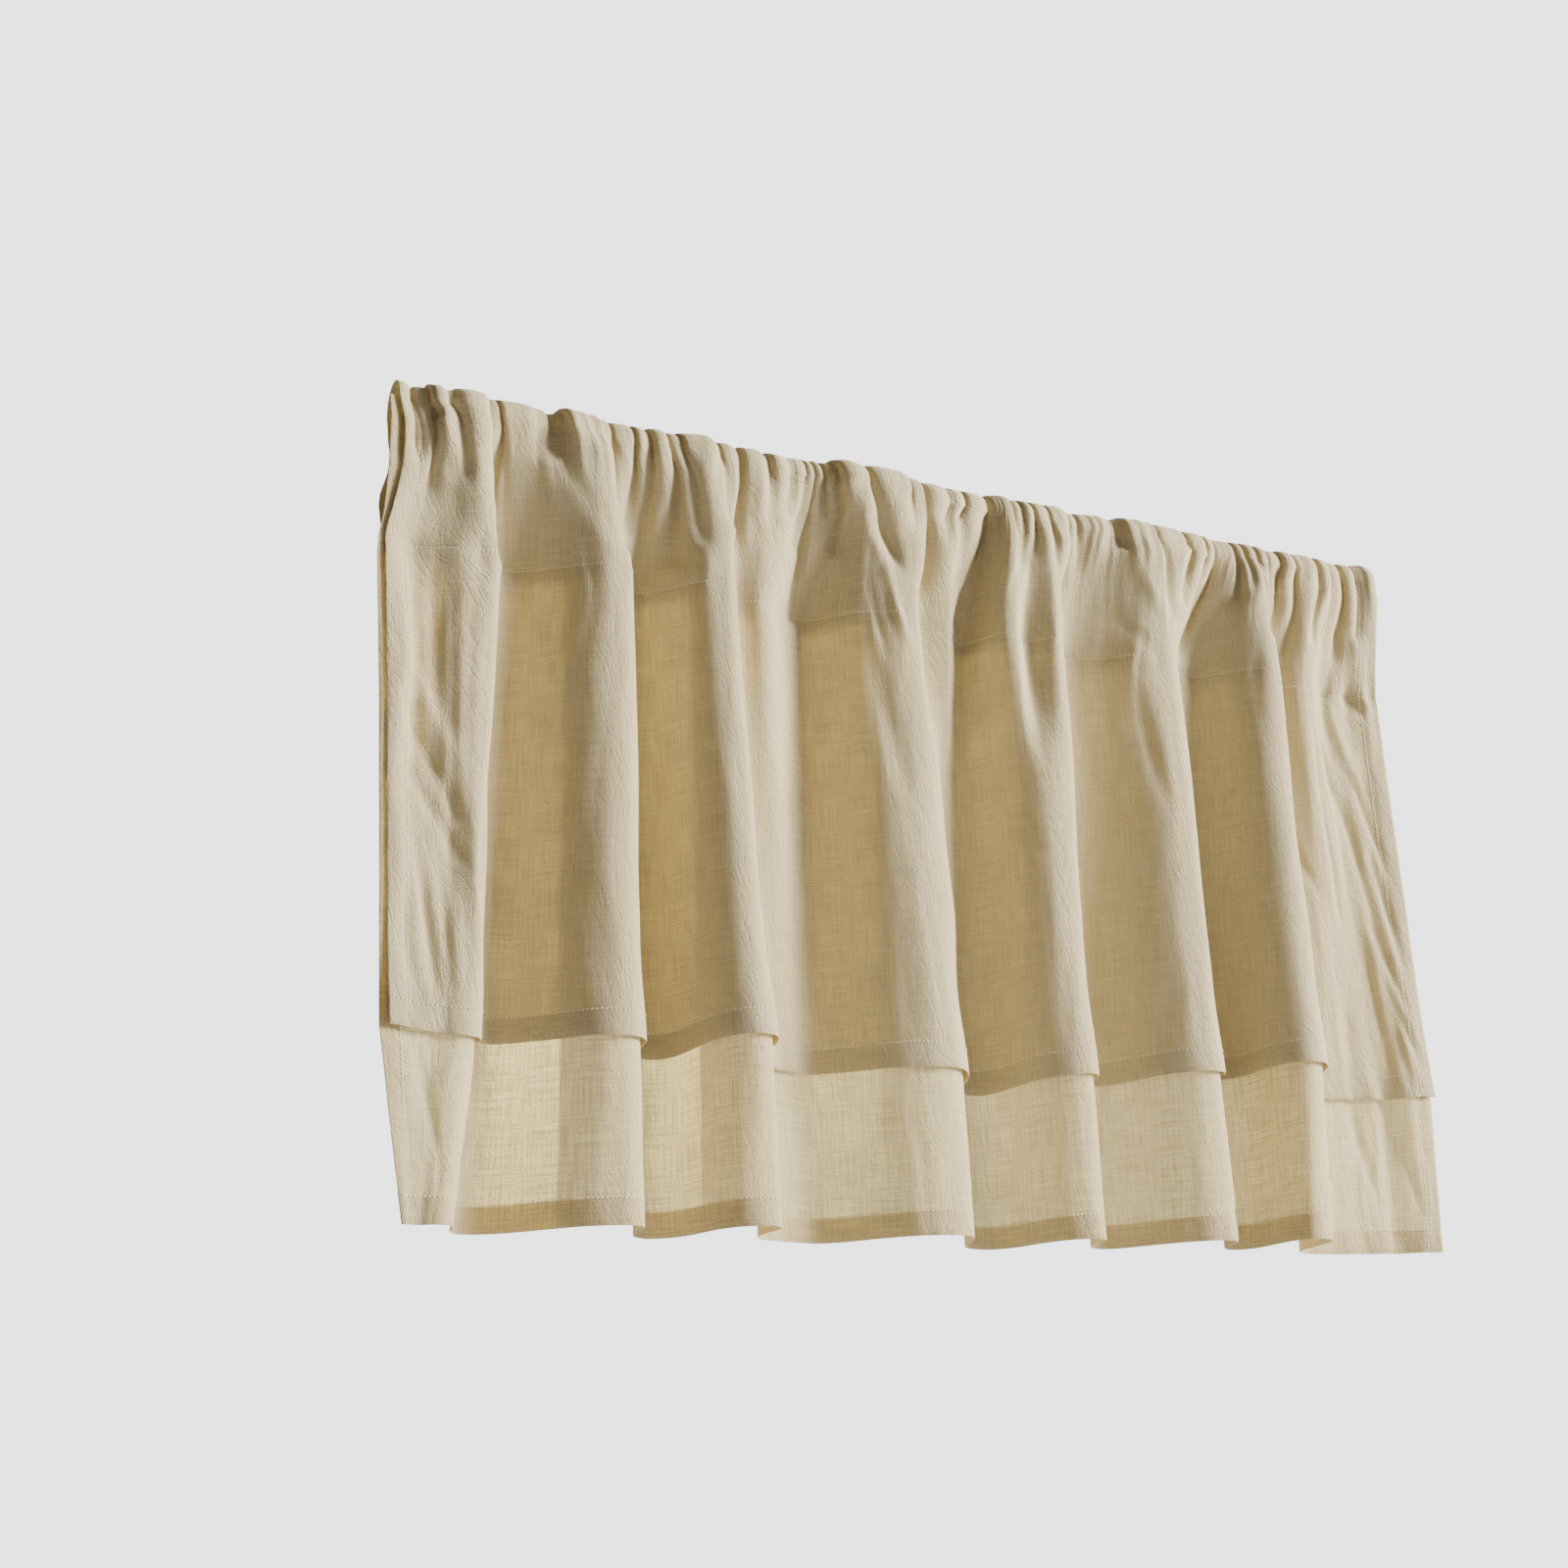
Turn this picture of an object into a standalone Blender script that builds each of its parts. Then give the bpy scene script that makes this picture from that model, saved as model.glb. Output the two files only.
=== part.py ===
"""Two-tier cafe curtain of plain linen, gathered on a rod pocket.

Two panels are cut and sewn: a short front panel, whose head turns over the rod
and down behind it, and a long back panel that hangs behind the front one. One
row of stitching closes the pocket and holds the three layers together there.

Each panel is an open surface with a thickness. In plan, every height of the
cloth is one curve between the two side edges. The fold lines in the table
below cut that curve into strips. A strip swings out and back between its two
lines, and what the strip's flat width has to spare becomes small puckers.

Metres, +Z up. X runs along the rod, -Y faces the room, and the origin is on
the axis of the rod space, halfway along it.
"""

from collections import namedtuple

import bpy
import numpy as np

CM = 0.01

# The cloth and its layers
CLOTH_THICKNESS = 0.0010
LAYER_PITCH = 0.0018
TAIL_PITCH = 0.0046

# The rod pocket: the space for the rod, the gathers' depth from trough to
# crest, how far a fold line and a whole pucker stand off the arch's middle,
# and the arch of cloth round the rod
ROD_SPACE = 0.019
PUCKER_DEPTH = 0.0052
LINE_HALF_DEPTH = 0.0012
PUCKER_REACH = 0.0060
ARCH_RADIUS = ROD_SPACE / 2 + LAYER_PITCH + CLOTH_THICKNESS + PUCKER_REACH
TOP_TO_AXIS = ARCH_RADIUS + PUCKER_REACH
SEAM_DROP = 0.125
TAIL_BELOW_SEAM = 0.010

# The lengths of the two tiers, below the top edge
FRONT_DROP = 0.469
BACK_DROP = 0.594

# The steepest that a pucker may turn the cloth, in radians
RIPPLE_LIMIT = 1.45

# How the mesh divides the cloth
COLUMNS_PER_STRIP = 3
COLUMNS_PER_PUCKER = 4
ARCH_STEPS = 4
POCKET_DROPS = (0.036, 0.060, 0.090)
SKIRT_SHARES = (0.45, 1.0)

FoldLine = namedtuple(
    "FoldLine",
    "name top_x seam_x seam_y hem_x hem_y foot_x front_drop puckers spread",
)

# One row for each fold line, from the left side edge to the right one, in
# centimetres. The x columns give the line at the rod, at the pocket's seam, at
# the front panel's hem and at the back panel's. The y columns are towards the
# room where negative. front_drop is how much lower than FRONT_DROP the front
# hem hangs there. puckers counts the gathers between this line and the next,
# which lie in the first part of that strip, as far along it as spread says.
FOLD_LINES = tuple(
    FoldLine(*row)
    for row in (
        ("left_edge", -45.6, -45.5, -0.3, -46.0, -0.6, -44.7, -0.3, 2, 1.0),
        ("valley_a", -43.0, -42.2, 0.7, -43.4, -0.3, -43.9, 0.0, 3, 1.0),
        ("crest_1", -38.4, -38.0, -1.3, -40.8, -0.9, -42.9, 0.2, 0, 1.0),
        ("valley_1", -37.1, -35.6, 2.0, -37.6, 3.0, -39.2, -0.2, 1, 0.3),
        ("crest_2", -29.2, -28.2, -2.0, -29.6, -2.4, -29.7, -0.1, 0, 1.0),
        ("valley_2", -26.6, -25.0, 2.3, -25.4, 3.0, -25.5, 0.2, 4, 0.9),
        ("crest_3", -19.7, -19.7, -2.1, -19.8, -3.5, -20.0, -0.6, 1, 1.0),
        ("valley_b", -17.4, -17.2, 0.9, -16.2, 2.4, -16.4, 0.3, 0, 1.0),
        ("crest_b", -15.5, -15.3, 0.2, -14.6, 2.9, -14.8, 0.4, 3, 1.0),
        ("valley_3", -10.4, -10.9, 2.5, -12.2, 3.4, -12.2, 0.5, 3, 1.0),
        ("crest_4", -3.0, -3.6, -2.0, -3.0, -1.7, -3.2, 0.5, 0, 1.0),
        ("valley_c", -1.3, -0.8, 1.2, 0.6, 3.2, 0.5, 0.9, 2, 1.0),
        ("crest_c", 2.6, 1.5, 0.6, 1.7, 3.9, 1.6, 1.1, 0, 1.0),
        ("valley_4", 5.2, 3.7, 2.2, 2.9, 4.4, 2.9, 1.1, 0, 1.0),
        ("crest_d", 6.8, 6.3, -1.3, 5.8, 0.9, 5.8, 0.6, 0, 1.0),
        ("valley_d", 8.6, 7.9, 0.4, 6.8, 0.1, 6.8, 0.5, 0, 1.0),
        ("crest_5", 10.2, 10.0, -1.8, 9.0, -1.7, 8.9, 0.3, 2, 1.0),
        ("valley_5", 14.6, 13.8, 1.8, 12.6, 2.9, 12.6, 0.2, 2, 0.5),
        ("crest_6", 21.2, 21.5, -1.7, 20.8, -2.5, 20.8, -0.3, 4, 1.0),
        ("valley_6", 28.4, 25.7, 1.4, 24.5, 1.8, 24.4, -0.7, 0, 1.0),
        ("crest_7", 31.4, 31.4, -2.9, 29.2, -4.4, 28.0, -1.1, 0, 1.0),
        ("valley_7", 33.8, 34.4, 1.4, 34.0, 2.9, 33.2, 0.1, 2, 1.0),
        ("crest_e", 37.8, 36.7, -0.4, 38.6, 1.8, 38.0, 0.1, 0, 1.0),
        ("valley_e", 40.6, 39.4, 1.0, 41.6, 2.3, 41.0, 0.1, 2, 0.7),
        ("right_edge", 44.8, 45.2, 0.4, 46.4, 1.0, 45.3, -0.1, 0, 1.0),
    )
)


def column(name):
    """One column of the fold table, in metres."""
    return CM * np.array([getattr(line, name) for line in FOLD_LINES])


def swing_table():
    """Run and rise of a strip of unit flat width, by its steepest angle."""
    angle = np.linspace(0.0, 1.9, 400)
    phase = np.pi * (np.arange(200) + 0.5) / 200
    lean = angle[:, None] * np.sin(phase)[None, :]
    return angle, np.cos(lean).mean(axis=1), np.sin(lean).mean(axis=1)


SWING_ANGLE, SWING_RUN, SWING_RISE = swing_table()


def swing_for(run, rise):
    """Steepest angle of the plain strip that covers this run and rise."""
    return np.interp(np.abs(rise) / run, SWING_RISE / SWING_RUN, SWING_ANGLE)


def plain_width(run, rise):
    """Flat width of a strip that covers this run and rise with no pucker."""
    return run / np.interp(swing_for(run, rise), SWING_ANGLE, SWING_RUN)


def line_levels():
    """The fold lines' x and y at the rod, the seam, the front hem and the foot."""
    side = np.sign(column("seam_y"))
    xs = [column("top_x"), column("seam_x"), column("hem_x"), column("foot_x")]
    ys = [side * LINE_HALF_DEPTH, column("seam_y"), column("hem_y"), column("hem_y")]
    return np.array(xs), np.array(ys)


def strip_widths(line_x, line_y):
    """Each strip's share of the flat cloth at each level.

    The front hem has no puckers, so its strips give the flat width of the
    whole panel. Higher up, the cloth to spare goes to the puckers, up to
    their full depth.
    """
    runs = np.diff(line_x, axis=1)
    rises = np.diff(line_y, axis=1)
    plain = plain_width(runs, rises)
    flat = plain[2].sum()
    count = np.array([line.puckers for line in FOLD_LINES[:-1]], dtype=float)
    spread = np.array([line.spread for line in FOLD_LINES[:-1]])
    pitch = runs * spread / np.maximum(count, 1)
    taken = count * (2 * plain_width(pitch / 2, PUCKER_DEPTH) - pitch)
    spare = np.maximum(flat - plain.sum(axis=1), 0)
    use = np.minimum(spare / taken.sum(axis=1), 1.0)
    return flat, plain + use[:, None] * taken


LINE_X, LINE_Y = line_levels()
FLAT_WIDTH, STRIP_WIDTHS = strip_widths(LINE_X, LINE_Y)


def level_weights(drop):
    """How much each of the four levels counts at a drop below the top edge."""
    stops = (TOP_TO_AXIS, SEAM_DROP, FRONT_DROP, BACK_DROP)
    return np.array([np.interp(drop, stops, row) for row in np.eye(4)])


def strip_curve(line, run, rise, flat):
    """Points in plan along one strip that keeps its flat width.

    The cloth's angle to the rod rises and falls once along the strip, and
    once more for each pucker, by as much as makes the strip cover its run.
    """
    fine = np.linspace(0.0, 1.0, 1 + 60 * (1 + line.puckers))
    lean = np.sign(rise) * swing_for(run, rise) * np.sin(np.pi * fine)
    along = np.minimum(fine / line.spread, 1.0)
    uneven = along + 0.03 * np.sin(4 * np.pi * along)
    side = 1.0 if line.seam_y < 0 else -1.0
    ripple = side * np.sin(2 * np.pi * line.puckers * uneven)
    low, high = 0.0, RIPPLE_LIMIT
    for _ in range(30):
        middle = (low + high) / 2
        if flat * np.cos(lean + middle * ripple).mean() > run:
            low = middle
        else:
            high = middle
    angle = lean + low * ripple
    step = flat * np.diff(fine)
    x = np.append(0.0, np.cumsum(step * np.cos((angle[1:] + angle[:-1]) / 2)))
    y = np.append(0.0, np.cumsum(step * np.sin((angle[1:] + angle[:-1]) / 2)))
    x = x * run / x[-1]
    y = y + (rise - y[-1]) * fine
    shares = strip_shares(line)
    return np.interp(shares, fine, x), np.interp(shares, fine, y)


def strip_shares(line):
    """Where the mesh columns lie along a strip, from 0 up to but not at 1."""
    plain = np.arange(COLUMNS_PER_STRIP) / COLUMNS_PER_STRIP
    if not line.puckers:
        return plain
    count = COLUMNS_PER_PUCKER * line.puckers
    gathered = line.spread * np.arange(count) / count
    if line.spread == 1.0:
        return gathered
    return np.concatenate([gathered, line.spread + (1 - line.spread) * plain])


def plan_row(drop):
    """The cloth's curve in plan at one drop, and its main folds on their own."""
    weights = level_weights(drop)
    line_x = weights @ LINE_X
    line_y = weights @ LINE_Y
    fold_y = weights[1:] @ LINE_Y[1:]
    widths = weights @ STRIP_WIDTHS
    xs, ys, folds = [], [], []
    for index, line in enumerate(FOLD_LINES[:-1]):
        run = line_x[index + 1] - line_x[index]
        rise = line_y[index + 1] - line_y[index]
        x, y = strip_curve(line, run, rise, widths[index])
        ease = (1 - np.cos(np.pi * strip_shares(line))) / 2
        xs.append(line_x[index] + x)
        ys.append(line_y[index] + y)
        folds.append(fold_y[index] + (fold_y[index + 1] - fold_y[index]) * ease)
    xs.append(line_x[-1:])
    ys.append(line_y[-1:])
    folds.append(fold_y[-1:])
    return np.concatenate(xs), np.concatenate(ys), np.concatenate(folds)


def column_values(values):
    """A value at each fold line, eased across the strips to every column."""
    parts = []
    for index, line in enumerate(FOLD_LINES[:-1]):
        ease = (1 - np.cos(np.pi * strip_shares(line))) / 2
        parts.append(values[index] + (values[index + 1] - values[index]) * ease)
    parts.append(values[-1:])
    return np.concatenate(parts)


def beside(x, y, distance):
    """The curve that runs this far behind another one, parallel to it."""
    ahead = np.stack([np.diff(x), np.diff(y)], axis=1)
    ahead /= np.linalg.norm(ahead, axis=1)[:, None]
    before = np.vstack([ahead[:1], ahead])
    after = np.vstack([ahead, ahead[-1:]])
    middle = before + after
    middle /= np.linalg.norm(middle, axis=1)[:, None]
    reach = distance / np.maximum((middle * after).sum(axis=1), 0.6)
    return x - middle[:, 1] * reach, y + middle[:, 0] * reach


def pocket_half_width(drop):
    """How far each wall of the pocket stands from its middle at a drop."""
    share = np.interp(drop, (TOP_TO_AXIS + ROD_SPACE, SEAM_DROP), (1.0, 0.0))
    return ARCH_RADIUS * share ** 1.2


def skirt_rows():
    """Plan curves and heights from the rod down to the front hem.

    Each row is (x, y, main fold y, drop, half width of the pocket).
    """
    hem = FRONT_DROP + column_values(column("front_drop"))
    rows = []
    for drop in (TOP_TO_AXIS, *POCKET_DROPS, SEAM_DROP):
        x, y, fold = plan_row(drop)
        rows.append((x, y, fold, np.full_like(x, drop), pocket_half_width(drop)))
    for share in SKIRT_SHARES:
        x, y, fold = plan_row(SEAM_DROP + share * (FRONT_DROP - SEAM_DROP))
        drop = SEAM_DROP + share * (hem - SEAM_DROP)
        rows.append((x, y, fold, drop, 0.0))
    return rows


def points(x, y, drop):
    """Points of one row in space, from its plan and its drop."""
    return np.stack([x, y, np.broadcast_to(TOP_TO_AXIS - drop, x.shape)], axis=1)


def tail_rows(rows):
    """The pocket's rear wall, from its end below the seam up to the rod."""
    at_seam = len(POCKET_DROPS) + 1
    seam, below = rows[at_seam], rows[at_seam + 1]
    share = TAIL_BELOW_SEAM / (below[3] - SEAM_DROP)
    seam_x, seam_y = beside(seam[0], seam[1], TAIL_PITCH)
    next_x, next_y = beside(below[0], below[1], TAIL_PITCH)
    end_x = seam_x + (next_x - seam_x) * share
    end_y = seam_y + (next_y - seam_y) * share
    sheet = [points(end_x, end_y, SEAM_DROP + TAIL_BELOW_SEAM)]
    for index in (at_seam, at_seam - 1, 1, 0):
        x, y, fold, drop, half_width = rows[index]
        nested = np.interp(drop[0], (TOP_TO_AXIS, POCKET_DROPS[-1]), (0.0, 1.0))
        near_x, near_y = beside(x, y, TAIL_PITCH)
        tail_x = nested * near_x + (1 - nested) * x
        tail_y = nested * near_y + (1 - nested) * (2 * fold - y)
        sheet.append(points(tail_x, tail_y + half_width, drop))
    return sheet


def front_rows():
    """The front panel from its tail up behind the rod, over it and down."""
    rows = skirt_rows()
    sheet = tail_rows(rows)
    x, y = rows[0][:2]
    reach = ARCH_RADIUS - y
    for step in range(1, ARCH_STEPS):
        turn = np.pi * step / ARCH_STEPS
        arch = (x, reach * np.cos(turn), reach * np.sin(turn))
        sheet.append(np.stack(arch, axis=1))
    for x, y, _, drop, half_width in rows:
        sheet.append(points(x, y - half_width, drop))
    return np.array(sheet)


def back_rows():
    """The back panel from inside the pocket down to its hem."""
    sheet = []
    for x, y, _, drop, half_width in skirt_rows():
        near_x, near_y = beside(x, y - half_width, LAYER_PITCH)
        sheet.append(points(near_x, near_y, drop))
    x, y, _ = plan_row(BACK_DROP)
    near_x, near_y = beside(x, y, LAYER_PITCH)
    sheet.append(points(near_x, near_y, np.full_like(x, BACK_DROP)))
    return np.array(sheet)


def grid_faces(row_count, column_count):
    """Triangles that join a grid of points, all split the same way."""
    faces = []
    for row in range(row_count - 1):
        for place in range(column_count - 1):
            a = row * column_count + place
            b = a + 1
            c = b + column_count
            d = a + column_count
            faces.append((a, b, c))
            faces.append((a, c, d))
    return faces


def linen(name, colour):
    """A plain woven linen finish."""
    material = bpy.data.materials.new(name)
    material.use_nodes = True
    shader = material.node_tree.nodes["Principled BSDF"]
    shader.inputs["Base Color"].default_value = (*colour, 1.0)
    shader.inputs["Roughness"].default_value = 0.9
    shader.inputs["Metallic"].default_value = 0.0
    return material


def sheet_object(name, rows, material, collection):
    """A cloth panel: an open surface through the rows, given its thickness."""
    row_count, column_count = rows.shape[:2]
    mesh = bpy.data.meshes.new(name)
    faces = grid_faces(row_count, column_count)
    mesh.from_pydata(rows.reshape(-1, 3).tolist(), [], faces)
    mesh.materials.append(material)
    mesh.shade_smooth()
    panel = bpy.data.objects.new(name, mesh)
    collection.objects.link(panel)
    thickness = panel.modifiers.new("cloth thickness", "SOLIDIFY")
    thickness.thickness = CLOTH_THICKNESS
    thickness.offset = 0.0
    return panel


def main():
    """Build the curtain's two panels in an empty scene."""
    for item in list(bpy.data.objects):
        bpy.data.objects.remove(item)
    collection = bpy.data.collections.new("cafe_curtain")
    bpy.context.scene.collection.children.link(collection)
    front_linen = linen("front linen", (0.56, 0.46, 0.32))
    back_linen = linen("back linen", (0.62, 0.51, 0.34))
    sheet_object("front_panel", front_rows(), front_linen, collection)
    sheet_object("back_panel", back_rows(), back_linen, collection)


main()
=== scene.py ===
"""Two-tier cafe curtain of plain linen, dressed and lit for a studio view.

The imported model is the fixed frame. Each of its two panels is replaced by a
sheet of cloth on the same folds, with finer gathers, creases, turned hems and
stitching. Metres, +Z up: X runs along the rod, -Y faces the room, and the
origin is on the axis of the rod space, halfway along it.
"""

import logging
import math
from dataclasses import dataclass
from enum import Enum
from typing import ClassVar, NamedTuple, Sequence, Union

import bpy
import numpy as np
from mathutils import Matrix, Vector


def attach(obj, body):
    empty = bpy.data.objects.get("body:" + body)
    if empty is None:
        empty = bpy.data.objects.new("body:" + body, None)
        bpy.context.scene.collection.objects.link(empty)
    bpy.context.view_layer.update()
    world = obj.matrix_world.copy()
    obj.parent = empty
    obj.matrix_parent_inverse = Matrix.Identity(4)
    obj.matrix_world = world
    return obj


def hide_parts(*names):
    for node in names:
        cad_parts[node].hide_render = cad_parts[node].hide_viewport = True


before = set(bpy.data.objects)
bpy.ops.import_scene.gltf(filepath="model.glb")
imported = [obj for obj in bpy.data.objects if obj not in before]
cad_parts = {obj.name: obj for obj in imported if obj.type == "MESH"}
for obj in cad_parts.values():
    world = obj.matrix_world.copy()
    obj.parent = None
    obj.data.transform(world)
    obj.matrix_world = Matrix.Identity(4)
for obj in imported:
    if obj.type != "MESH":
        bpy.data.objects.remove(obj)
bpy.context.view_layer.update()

CM = 0.01
MM = 0.001
LOG = logging.getLogger("cafe_curtain")


class Tier(Enum):
    """The curtain's two tiers, each with the node that it stands for."""

    FRONT = "front_panel"
    BACK = "back_panel"


class FoldLine(NamedTuple):
    """A crest or valley line of the folds, in centimetres.

    The x values give the line at the rod, at the pocket's seam, at the front
    hem and at the foot. The y values are towards the room where negative.
    front_drop is how much lower than the front length its hem hangs there.
    """

    name: str
    top_x: float
    seam_x: float
    seam_y: float
    hem_x: float
    hem_y: float
    foot_x: float
    front_drop: float


FOLD_LINES = tuple(
    FoldLine(*row)
    for row in (
        ("left_edge", -45.6, -45.5, -0.3, -46.0, -0.6, -44.7, -0.3),
        ("valley_a", -43.0, -42.2, 0.3, -43.4, -0.4, -43.9, 0.0),
        ("crest_1", -38.4, -37.8, -0.8, -40.6, -0.7, -42.9, 0.2),
        ("valley_1", -37.1, -35.6, 2.0, -37.6, 3.0, -39.2, -0.2),
        ("crest_2", -29.2, -28.2, -2.0, -29.6, -2.4, -29.7, -0.1),
        ("valley_2", -26.6, -25.0, 2.3, -25.4, 3.0, -25.5, 0.2),
        ("crest_3", -19.7, -19.7, -2.1, -19.8, -3.5, -20.0, -0.6),
        ("valley_b", -17.4, -17.2, 0.9, -16.2, 2.4, -16.4, 0.3),
        ("crest_b", -15.5, -15.3, 0.2, -14.6, 2.9, -14.8, 0.4),
        ("valley_3", -10.4, -10.9, 2.5, -12.2, 3.4, -12.2, 0.5),
        ("crest_4", -3.0, -3.6, -2.0, -3.0, -1.7, -3.2, 0.5),
        ("valley_c", -1.3, -0.8, 1.2, 0.6, 2.8, 0.5, 0.9),
        ("crest_c", 2.6, 1.5, 0.6, 1.7, 3.9, 1.6, 1.1),
        ("valley_4", 5.2, 3.7, 2.2, 2.9, 4.4, 2.9, 1.1),
        ("crest_d", 6.8, 6.5, -1.5, 7.2, -0.5, 7.2, 0.5),
        ("valley_d", 8.6, 8.1, -0.4, 8.0, -1.3, 8.0, 0.4),
        ("crest_5", 10.2, 10.0, -1.8, 9.0, -1.7, 8.9, 0.3),
        ("valley_5", 14.6, 13.8, 1.8, 12.6, 2.9, 12.6, 0.2),
        ("crest_6", 21.2, 21.5, -1.7, 20.8, -2.5, 20.8, -0.3),
        ("valley_6", 28.4, 25.7, 1.4, 24.5, 1.8, 24.4, -0.7),
        ("crest_7", 31.4, 31.4, -2.9, 29.2, -4.4, 28.0, -1.1),
        ("valley_7", 33.8, 34.4, 1.4, 34.0, 2.9, 33.2, 0.1),
        ("crest_e", 37.8, 36.7, -0.3, 38.4, 2.4, 37.8, 0.1),
        ("valley_e", 40.6, 39.4, 0.9, 41.6, 1.9, 41.0, 0.1),
        ("right_edge", 44.8, 45.0, -0.1, 46.0, 0.5, 45.0, -0.1),
    )
)

# Folds that fall together into one below the seam, by their first and last lines.
MERGED_FOLDS = (("crest_4", "valley_4"), ("valley_4", "crest_5"))

# Powers of a strip's share, by its first line. Below 1, the cloth is steepest early on.
STEEP_EARLY = {
    "valley_a": 0.70,
    "valley_1": 0.85,
    "valley_2": 0.85,
    "valley_3": 0.62,
    "valley_4": 0.80,
    "valley_5": 0.70,
    "valley_6": 0.85,
}

# Depth in metres at which those folds start to merge, and the further depth they take.
MERGE_FROM = 0.13
MERGE_OVER = 0.11

# Power of the way from the rod to the seam by which the folds open.
OPENING_POWER = 0.75

# The steepest that the cloth may stand, in radians.
STEEPEST_LEAN = 1.62


class Gather(NamedTuple):
    """A small pleat that starts at the rod and fades out below it.

    It runs from top_x at the rod to end_x at end_drop, in centimetres. width
    is its half width in millimetres. lean is the angle to which it turns the
    cloth, in radians: a trough where positive, a ridge where negative.
    """

    top_x: float
    end_x: float
    end_drop: float
    width: float
    lean: float


GATHERS = tuple(
    Gather(*row)
    for row in (
        (-44.1, -44.3, 7.0, 3.0, 0.9),
        (-42.4, -42.8, 9.0, 3.5, 1.1),
        (-41.4, -41.6, 6.0, 3.0, -0.7),
        (-40.3, -40.0, 8.0, 3.0, 1.0),
        (-38.1, -37.0, 9.0, 3.5, 1.0),
        (-37.2, -36.6, 13.0, 2.6, 1.1),
        (-33.4, -33.6, 5.0, 6.0, 0.5),
        (-31.4, -31.2, 4.0, 4.0, -0.5),
        (-28.0, -27.2, 11.0, 4.0, 1.3),
        (-26.4, -26.2, 9.0, 3.0, 1.2),
        (-25.0, -24.9, 10.0, 3.0, 1.1),
        (-23.1, -22.9, 11.0, 3.4, 1.1),
        (-22.1, -21.0, 10.0, 2.8, 1.0),
        (-19.4, -19.0, 8.0, 3.0, 1.0),
        (-18.0, -17.8, 9.0, 2.8, 1.1),
        (-15.2, -15.0, 7.0, 3.0, 0.8),
        (-13.6, -13.8, 6.0, 3.4, 0.8),
        (-12.6, -12.5, 8.0, 2.6, 1.1),
        (-11.5, -11.4, 13.0, 2.8, 1.3),
        (-10.1, -10.0, 5.0, 2.6, 1.2),
        (-9.1, -8.9, 8.0, 2.8, 1.1),
        (-6.3, -4.4, 9.0, 3.6, 0.8),
        (-2.9, -2.6, 6.0, 3.2, 0.9),
        (-0.8, -0.9, 10.0, 3.2, 1.1),
        (1.0, 0.9, 6.0, 3.0, 0.8),
        (2.2, 2.1, 9.0, 3.0, 1.0),
        (4.3, 3.3, 12.0, 3.4, 1.3),
        (7.3, 6.8, 9.0, 2.8, 1.1),
        (8.1, 7.4, 8.0, 2.6, 0.9),
        (9.1, 8.9, 6.0, 2.6, 1.0),
        (10.7, 10.8, 7.0, 2.8, 1.0),
        (13.0, 12.8, 10.0, 2.8, 1.1),
        (13.9, 14.0, 6.0, 2.6, 0.8),
        (17.2, 17.4, 4.0, 4.0, 0.5),
        (21.1, 22.6, 9.0, 3.2, 1.0),
        (23.6, 23.8, 8.0, 2.8, 1.1),
        (25.6, 25.4, 9.0, 3.0, 1.1),
        (27.3, 25.6, 11.0, 3.6, 1.3),
        (29.7, 29.5, 7.0, 2.8, 1.0),
        (30.8, 30.6, 6.0, 2.6, 0.9),
        (32.0, 31.8, 7.0, 2.6, 1.0),
        (33.4, 32.6, 10.0, 2.8, 1.1),
        (34.6, 34.4, 8.0, 2.8, 1.0),
        (36.4, 36.2, 10.0, 2.8, 1.1),
        (38.8, 38.6, 9.0, 3.2, 1.0),
        (40.2, 40.4, 7.0, 3.0, 0.8),
        (41.8, 41.8, 10.0, 3.0, 1.0),
        (43.4, 43.6, 8.0, 2.8, 0.9),
    )
)


class Crease(NamedTuple):
    """A soft trough or ridge pressed into the cloth, on one tier.

    It runs from (from_x, from_drop) to (to_x, to_drop), in centimetres. width
    and depth are in millimetres: a trough where depth is positive.
    """

    from_x: float
    from_drop: float
    to_x: float
    to_drop: float
    width: float
    depth: float


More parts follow.
